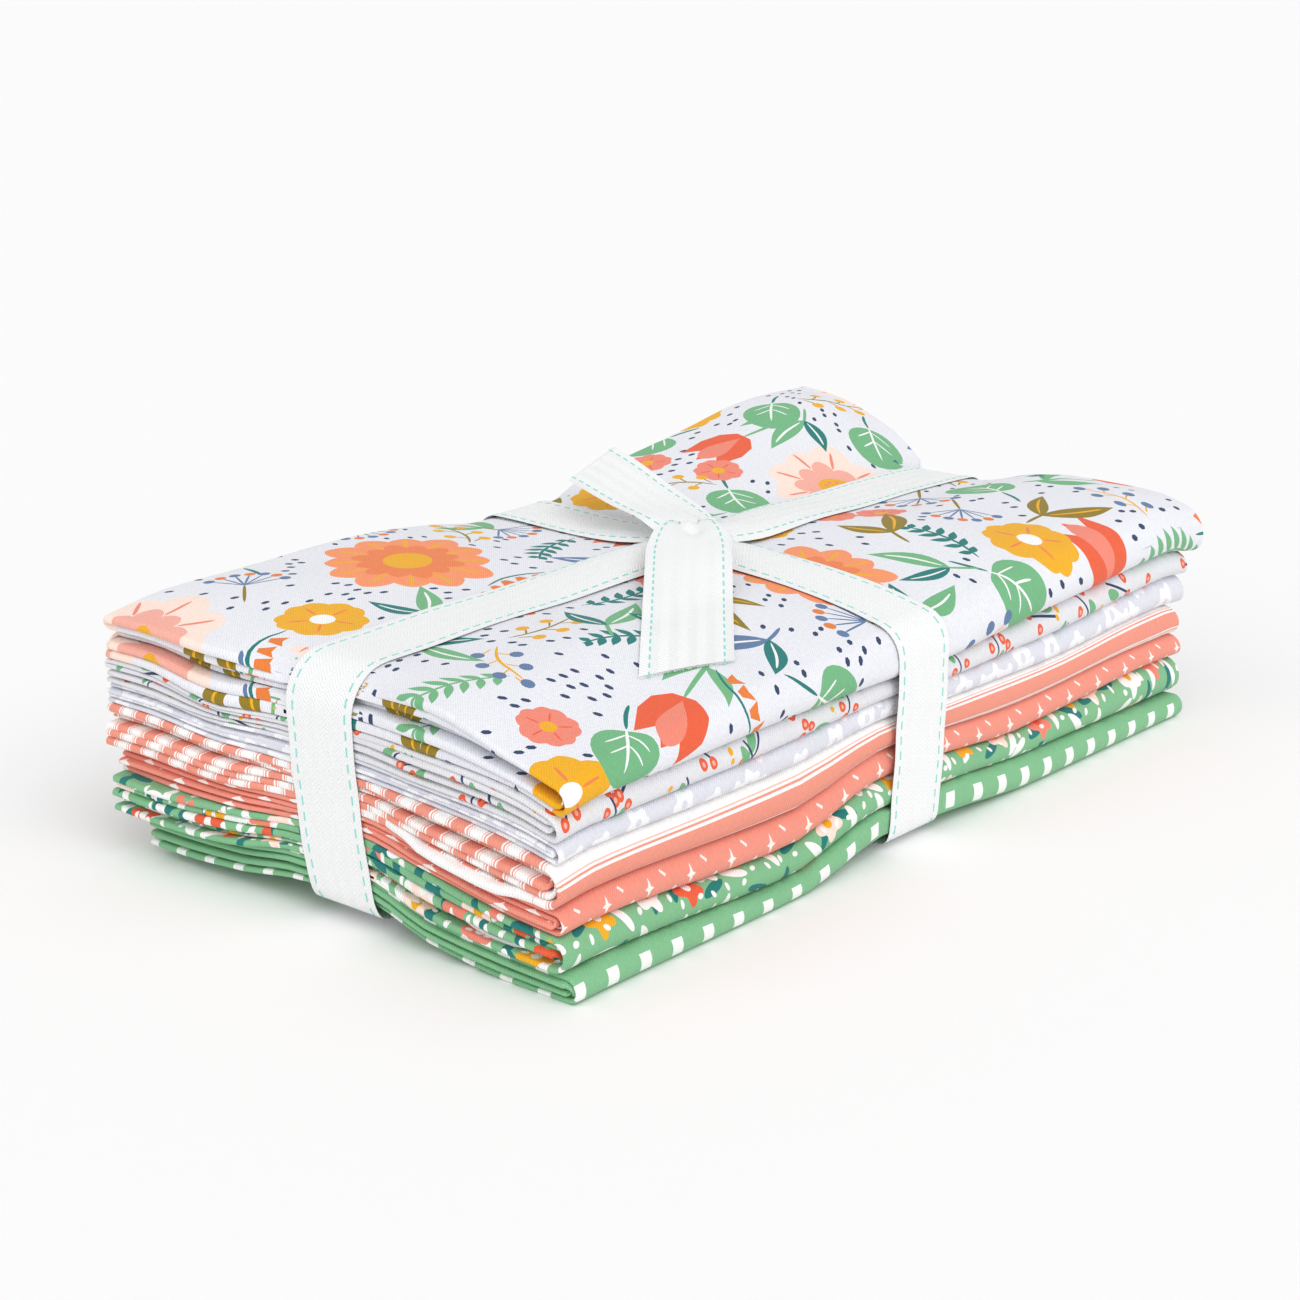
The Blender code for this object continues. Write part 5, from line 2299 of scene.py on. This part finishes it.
    def tail_course(
        self, heading: float, course: list[tuple[float, float, float]], slant: float,
        gather: tuple[float, float, float], dome: float, dent: float,
    ) -> Course:
        """Lays a free end, resting on the cloth where it reaches it.

        Args:
            heading: its direction in degrees from +X.
            course: distance along, height, and bank of each point, in millimetres.
            slant: how much further one corner of the cut end reaches.
            gather: where the knot holds it, its share of the width there, and where it is wide again.
            dome: how far its sides droop over the knot.
            dent: how deep its middle is pinched in where it leaves the knot.

        Returns:
            The ribbon's surface.
        """
        held, least, wide = gather
        along = np.array([math.cos(math.radians(heading)), math.sin(math.radians(heading))])
        side = np.array([-along[1], along[0]])
        given = np.array(course) * MM
        count = 64
        where = np.linspace(0, len(given) - 1, count)
        steps = np.arange(len(given), dtype=float)
        path = np.stack([
            monotone(steps, np.repeat(column[:, None], count, axis=1), where) for column in given.T
        ], axis=1)
        t = np.linspace(-0.5, 0.5, self.columns) * self.width
        knot = np.array([self.stack.tie_knot.x, self.stack.tie_knot.y])
        end = path[:, 0].max()
        half = t / self.width * 2
        rows = []
        for distance, height, bank in path:
            reach = distance + slant * (t / self.width) * max(distance / end, 0.0)
            spread = min(max((distance - held) / (wide - held), 0.0), 1.0)
            tight = least + (1 - least) * math.sqrt(1 - (1 - spread) ** 2)
            place = knot + reach[:, None] * along + t[:, None] * side * tight
            cloth = self.stack.top_at(place[:, 0], place[:, 1]) + self.lift + 0.2 * MM
            over_knot = math.exp(-(((distance + 3 * MM) / (10 * MM)) ** 2)) * dome
            z = height - bank * half - over_knot * half**2
            z = z + 0.25 * MM * np.sin(distance / (17 * MM)) * half
            z = z + 1.2 * MM * (1 - tight) * np.cos(half / 2 * math.tau * 2.5 + 0.6)
            pinch = ((distance - held - 8 * MM) / (4 * MM)) ** 2 + ((t - 1 * MM) / (3.2 * MM)) ** 2
            z = z - dent * np.exp(-pinch)
            rows.append(np.column_stack([place, np.maximum(z, cloth)]))
        return Course(smooth_rows(np.array(rows), 2), self.width)

    def build_sheet(self, name: str, course: Course, material: bpy.types.Material) -> bpy.types.Object:
        """Makes a course into a sheet with its flat pattern.

        Args:
            name: the piece's name.
            course: the ribbon's surface.
            material: its finish.

        Returns:
            The sheet.
        """
        rows, columns = course.grid.shape[:2]
        thing = mesh_object(name, course.grid.reshape(-1, 3), grid_faces(rows, columns))
        along = course.along()
        flat_u = np.tile(np.linspace(0, course.width, columns), rows)
        flat = np.stack([flat_u, np.repeat(along, columns)], axis=1)
        lay_maps(thing, flat, (course.width, along[-1]))
        thing.data.materials.append(material)
        return thing

    def dash_lines(self, course: Course, face: float) -> tuple[list[Points], list[Points]]:
        """The two dashed lines of a course and the directions out of its face there.

        Args:
            course: the ribbon's surface.
            face: 1 or -1, for the side of it that shows.

        Returns:
            The points of each line, and the direction out at each point.
        """
        share = self.dash_inset / self.width * (self.columns - 1)
        normals = course.normals() * face
        lines, outward = [], []
        for column in (share, self.columns - 1 - share):
            low = int(math.floor(column))
            part = column - low
            line = course.grid[:, low] * (1 - part) + course.grid[:, low + 1] * part
            out = normals[:, low] * (1 - part) + normals[:, low + 1] * part
            lines.append(line + out * 0.05 * MM)
            outward.append(out)
        return lines, outward


@dataclass
class Studio:
    """The pale floor, the soft lights and the camera.

    Attributes:
        place: where the camera stands.
        heading: its turn about Z in degrees.
        tilt: how far it looks down in degrees.
        lens: its focal length in millimetres on a 36 mm sensor.
        rings: reach and height of the floor's rings, the outer ones a little raised.
        surroundings: how bright the white surroundings are.
    """

    place: tuple[float, float, float] = (-0.5245, -0.4233, 0.2371)
    heading: float = -49.84
    tilt: float = 16.5
    lens: float = 68.97
    rings: tuple[tuple[float, float], ...] = ((80, 0.0), (88, 1.0), (94, 3.0))
    surroundings: float = 0.64

    def camera(self) -> None:
        """Sets up the camera at the photograph's angle."""
        data = bpy.data.cameras.new("camera")
        data.lens, data.sensor_width, data.sensor_fit = self.lens, 36.0, "HORIZONTAL"
        data.clip_start, data.clip_end = 0.01, 100.0
        camera = bpy.data.objects.new("camera", data)
        camera.location = self.place
        camera.rotation_euler = (math.radians(90 - self.tilt), 0.0, math.radians(self.heading))
        bpy.context.scene.collection.objects.link(camera)
        bpy.context.scene.camera = camera

    def light(self, name: str, place: tuple[float, float, float], strength: float, spread: float) -> None:
        """Hangs a wide soft light far off, which lights the floor as evenly as the bundle.

        Args:
            name: its name.
            place: where it hangs; it shines towards the origin.
            strength: its strength.
            spread: how wide it seems, in degrees.
        """
        data = bpy.data.lights.new(name, "SUN")
        data.energy, data.angle = strength, math.radians(spread)
        lamp = bpy.data.objects.new(name, data)
        lamp.location = place
        lamp.rotation_euler = (-Vector(place)).to_track_quat("-Z", "Y").to_euler()
        bpy.context.scene.collection.objects.link(lamp)

    def build(self) -> None:
        """Lays the floor and sets the lights and the surroundings."""
        count = 48
        turns = np.linspace(0, math.tau, count, endpoint=False)
        points = [(r * math.cos(a), r * math.sin(a), z) for r, z in self.rings for a in turns]
        faces = [tuple(range(count))]
        for ring in range(0, count * (len(self.rings) - 1), count):
            for n in range(count):
                after = (n + 1) % count
                faces.append((ring + count + n, ring + count + after, ring + after, ring + n))
        floor = mesh_object("floor", np.array(points), faces)
        graph = Graph("floor")
        graph.shader.inputs["Base Color"].default_value = (0.96, 0.96, 0.96, 1.0)
        graph.shader.inputs["Roughness"].default_value = 0.9
        graph.shader.inputs["Specular IOR Level"].default_value = 0.1
        floor.data.materials.append(graph.material)
        floor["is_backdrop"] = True
        world = bpy.data.worlds.new("studio")
        world.use_nodes = True
        background = world.node_tree.nodes["Background"]
        background.inputs["Color"].default_value = (1.0, 1.0, 1.0, 1.0)
        background.inputs["Strength"].default_value = self.surroundings
        bpy.context.scene.world = world
        bpy.context.scene.view_settings.view_transform = "Standard"
        self.light("key", (-0.45, -1.2, 1.3), 1.35, 50.0)
        self.light("fill", (-1.2, 0.1, 0.7), 0.45, 70.0)


@dataclass
class Bundle:
    """The whole bundle: the cuts, the ribbon and how each is told to the frame."""

    stack: Stack = field(default_factory=Stack)

    def cuts(self) -> list[tuple[FoldedCut, Cotton]]:
        """The seven cuts from the top down, each with its finish.

        The table gives each cut's name, its reach in millimetres at the left end near the front
        and near the back, the right end, the front and the back, the layer whose edge hangs out,
        where that edge begins and ends, and its finish.

        Returns:
            Each cut with its finish.
        """
        table = (
            ("large_floral", (2.0, 7.5, 8.0, 1.0, 0.6), 0, (0.0, 0.0), LargeFloralFinish),
            ("berry_sprig", (3.5, 8.0, 3.0, -1.0, 1.5), 0, (0.0, 0.0), SprigFinish),
            ("soft_bloom", (2.5, 8.0, 2.4, -1.5, 1.5), 0, (0.0, 0.0), SoftBloomFinish),
            ("stripe", (4.0, 8.5, -0.6, -0.5, 2.0), 6, (0.02, 0.36), StripeFinish),
            ("star", (3.0, 5.5, 1.4, -0.5, 0.5), 0, (0.0, 0.0), StarFinish),
            ("meadow", (3.0, 7.5, -1.6, 0.5, 1.5), 4, (0.02, 0.28), MeadowFinish),
            ("check", (2.0, 2.0, -1.0, 2.5, -6.0), 3, (0.04, 0.2), SquareFinish),
        )
        made = []
        for index, (name, reach, layer, span, finish) in enumerate(table):
            sizes = [value * MM for value in reach]
            node = f"cut_{index + 1}_{name}"
            cut = FoldedCut(self.stack, index, f"{name}_cloth", node, End.SELVAGES_RIGHT, *sizes, layer, span)
            made.append((cut, finish(f"{name}_cotton", cut.flap(), cut.left_fold(), cut.front_fold())))
        return made

    def wraps(self) -> tuple[Wrap, Wrap]:
        """The long wrap along X and the short one along Y.

        Returns:
            The long wrap and the short one.
        """
        long_wrap = Wrap(
            self.stack, along_x=True, low_side=-142.2 * MM, high_side=142.0 * MM,
            low_radius=12 * MM, high_radius=9 * MM, foot_radius=4 * MM,
            low_lean=-7 * MM, high_lean=-2 * MM,
            under=(4.4 * MM, 3.2 * MM, 4.2 * MM), hold_ends=(32 * MM, 18 * MM),
        )
        short_wrap = Wrap(
            self.stack, along_x=False, low_side=-76.6 * MM, high_side=76.6 * MM,
            low_radius=9 * MM, high_radius=7 * MM, foot_radius=3 * MM,
            low_lean=-3 * MM, high_lean=1 * MM, under=(2.6 * MM, 2.0 * MM, 3.6 * MM),
        )
        return long_wrap, short_wrap

    def tell(self, thing: bpy.types.Object, slot: str, nodes: list[str]) -> None:
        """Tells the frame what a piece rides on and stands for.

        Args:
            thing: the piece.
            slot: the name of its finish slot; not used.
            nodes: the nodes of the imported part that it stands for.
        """
        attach(thing, "root")
        if nodes:
            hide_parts(*nodes)
        LOG.info("%s: %d faces", thing.name, len(thing.data.polygons))

    def build(self) -> None:
        """Builds and dresses every piece."""
        wraps = self.wraps()
        cuts = self.cuts()
        for (cut, finish), (lower, _) in zip(cuts, cuts[1:] + [(None, None)]):
            drawing = LargeFloral().draw(cut, (40.0, 25.0)) if cut.index == 0 else None
            cloth = cut.build(list(wraps), drawing)
            cloth.data.materials.append(finish.material())
            self.tell(cloth, cut.node, [cut.node])
        self.build_ribbon(wraps)

    def build_ribbon(self, wraps: tuple[Wrap, Wrap]) -> None:
        """Builds the wraps and the free ends, each with its dashes, and the free ends' threads.

        Args:
            wraps: the long wrap and the short one.
        """
        ribbon = Ribbon(self.stack)
        cotton = RibbonFinish().material()
        thread = ThreadFinish("ribbon_dashes", linear(120, 208, 199), linear(164, 226, 218)).material()
        ends = ThreadFinish("ribbon_threads", linear(232, 236, 236), linear(252, 252, 250)).material()
        front = [
            (5.6, 71.5, 0), (4.8, 74.2, 0), (5.8, 76.3, 0), (9.5, 77.1, 0), (15, 76.6, 0), (22, 75.5, 0),
            (29, 74.6, 0), (36, 73.6, 0.2), (48, 71.0, 0.8), (60, 68.4, 1.6), (72, 65.6, 1.8),
            (84, 62.6, 1.8), (98, 60.0, 1.8),
        ]
        back = [
            (-9.8, 68.6, 0), (-11.4, 71.4, 0), (-9.6, 74.2, 0), (-5, 75.8, 0), (1, 76.1, 0), (8, 76.2, 0),
            (15, 76.5, 0.4), (24, 77.4, 1.2), (34, 79.0, 2.0), (44, 80.6, 2.5), (52.6, 81.6, 2.7),
        ]
        front_course = ribbon.tail_course(
            219, front, slant=-17 * MM, gather=(5 * MM, 0.24, 31 * MM), dome=0.0, dent=2.6 * MM,
        )
        back_course = ribbon.tail_course(
            72, back, slant=-12 * MM, gather=(-4 * MM, 0.64, 16 * MM), dome=3.4 * MM, dent=0.0,
        )
        pieces = (
            ("ribbon_long", ribbon.wrap_course(wraps[0]), ["ribbon_long_wrap"], "stretched", -1.0),
            ("ribbon_short", ribbon.wrap_course(wraps[1]), ["ribbon_short_wrap"], "stretched", 1.0),
            ("ribbon_front_end", front_course, ["ribbon_tail_front"], "laid", 1.0),
            ("ribbon_back_end", back_course, ["ribbon_tail_back", "ribbon_knot"], "laid", 1.0),
        )
        for name, course, nodes, held, face in pieces:
            sheet = ribbon.build_sheet(name, course, cotton)
            self.tell(sheet, "ribbon", nodes)
            lines, outward = ribbon.dash_lines(course, face)
            dashes = Stitches(name + "_dashes", thread).build(lines, outward)
            self.tell(dashes, "ribbon", [])
            extra = [dashes]
            if held == "laid":
                edge, inner = course.grid[-1], course.grid[-2]
                out = (edge - inner) / np.linalg.norm(edge - inner, axis=1, keepdims=True)
                size = (0.14 * MM, 1.9 * MM, 0.09 * MM)
                fringe = Stitches(name + "_threads", ends, 0.4 * MM, size, least=0.25)
                extra.append(fringe.build([edge + out * 0.3 * MM], [course.normals()[-1] * face]))
                self.tell(extra[-1], "ribbon", [])
            float(course.along()[-1])


def corners(bounds: tuple[Vector, Vector]) -> list[list[float]]:
    """The box's corners as plain numbers."""
    return [[float(value) for value in corner] for corner in bounds]


def main() -> None:
    """Loads the frame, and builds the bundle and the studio."""
    logging.basicConfig(level=logging.INFO, format="%(name)s: %(message)s")
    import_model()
    sizes = {"cad": corners(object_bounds())}
    Studio().camera()
    Bundle().build()
    Studio().build()
    sizes["visual"] = corners(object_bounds())
    LOG.info("sizes: %s", sizes)


if __name__ == "__main__":
    main()
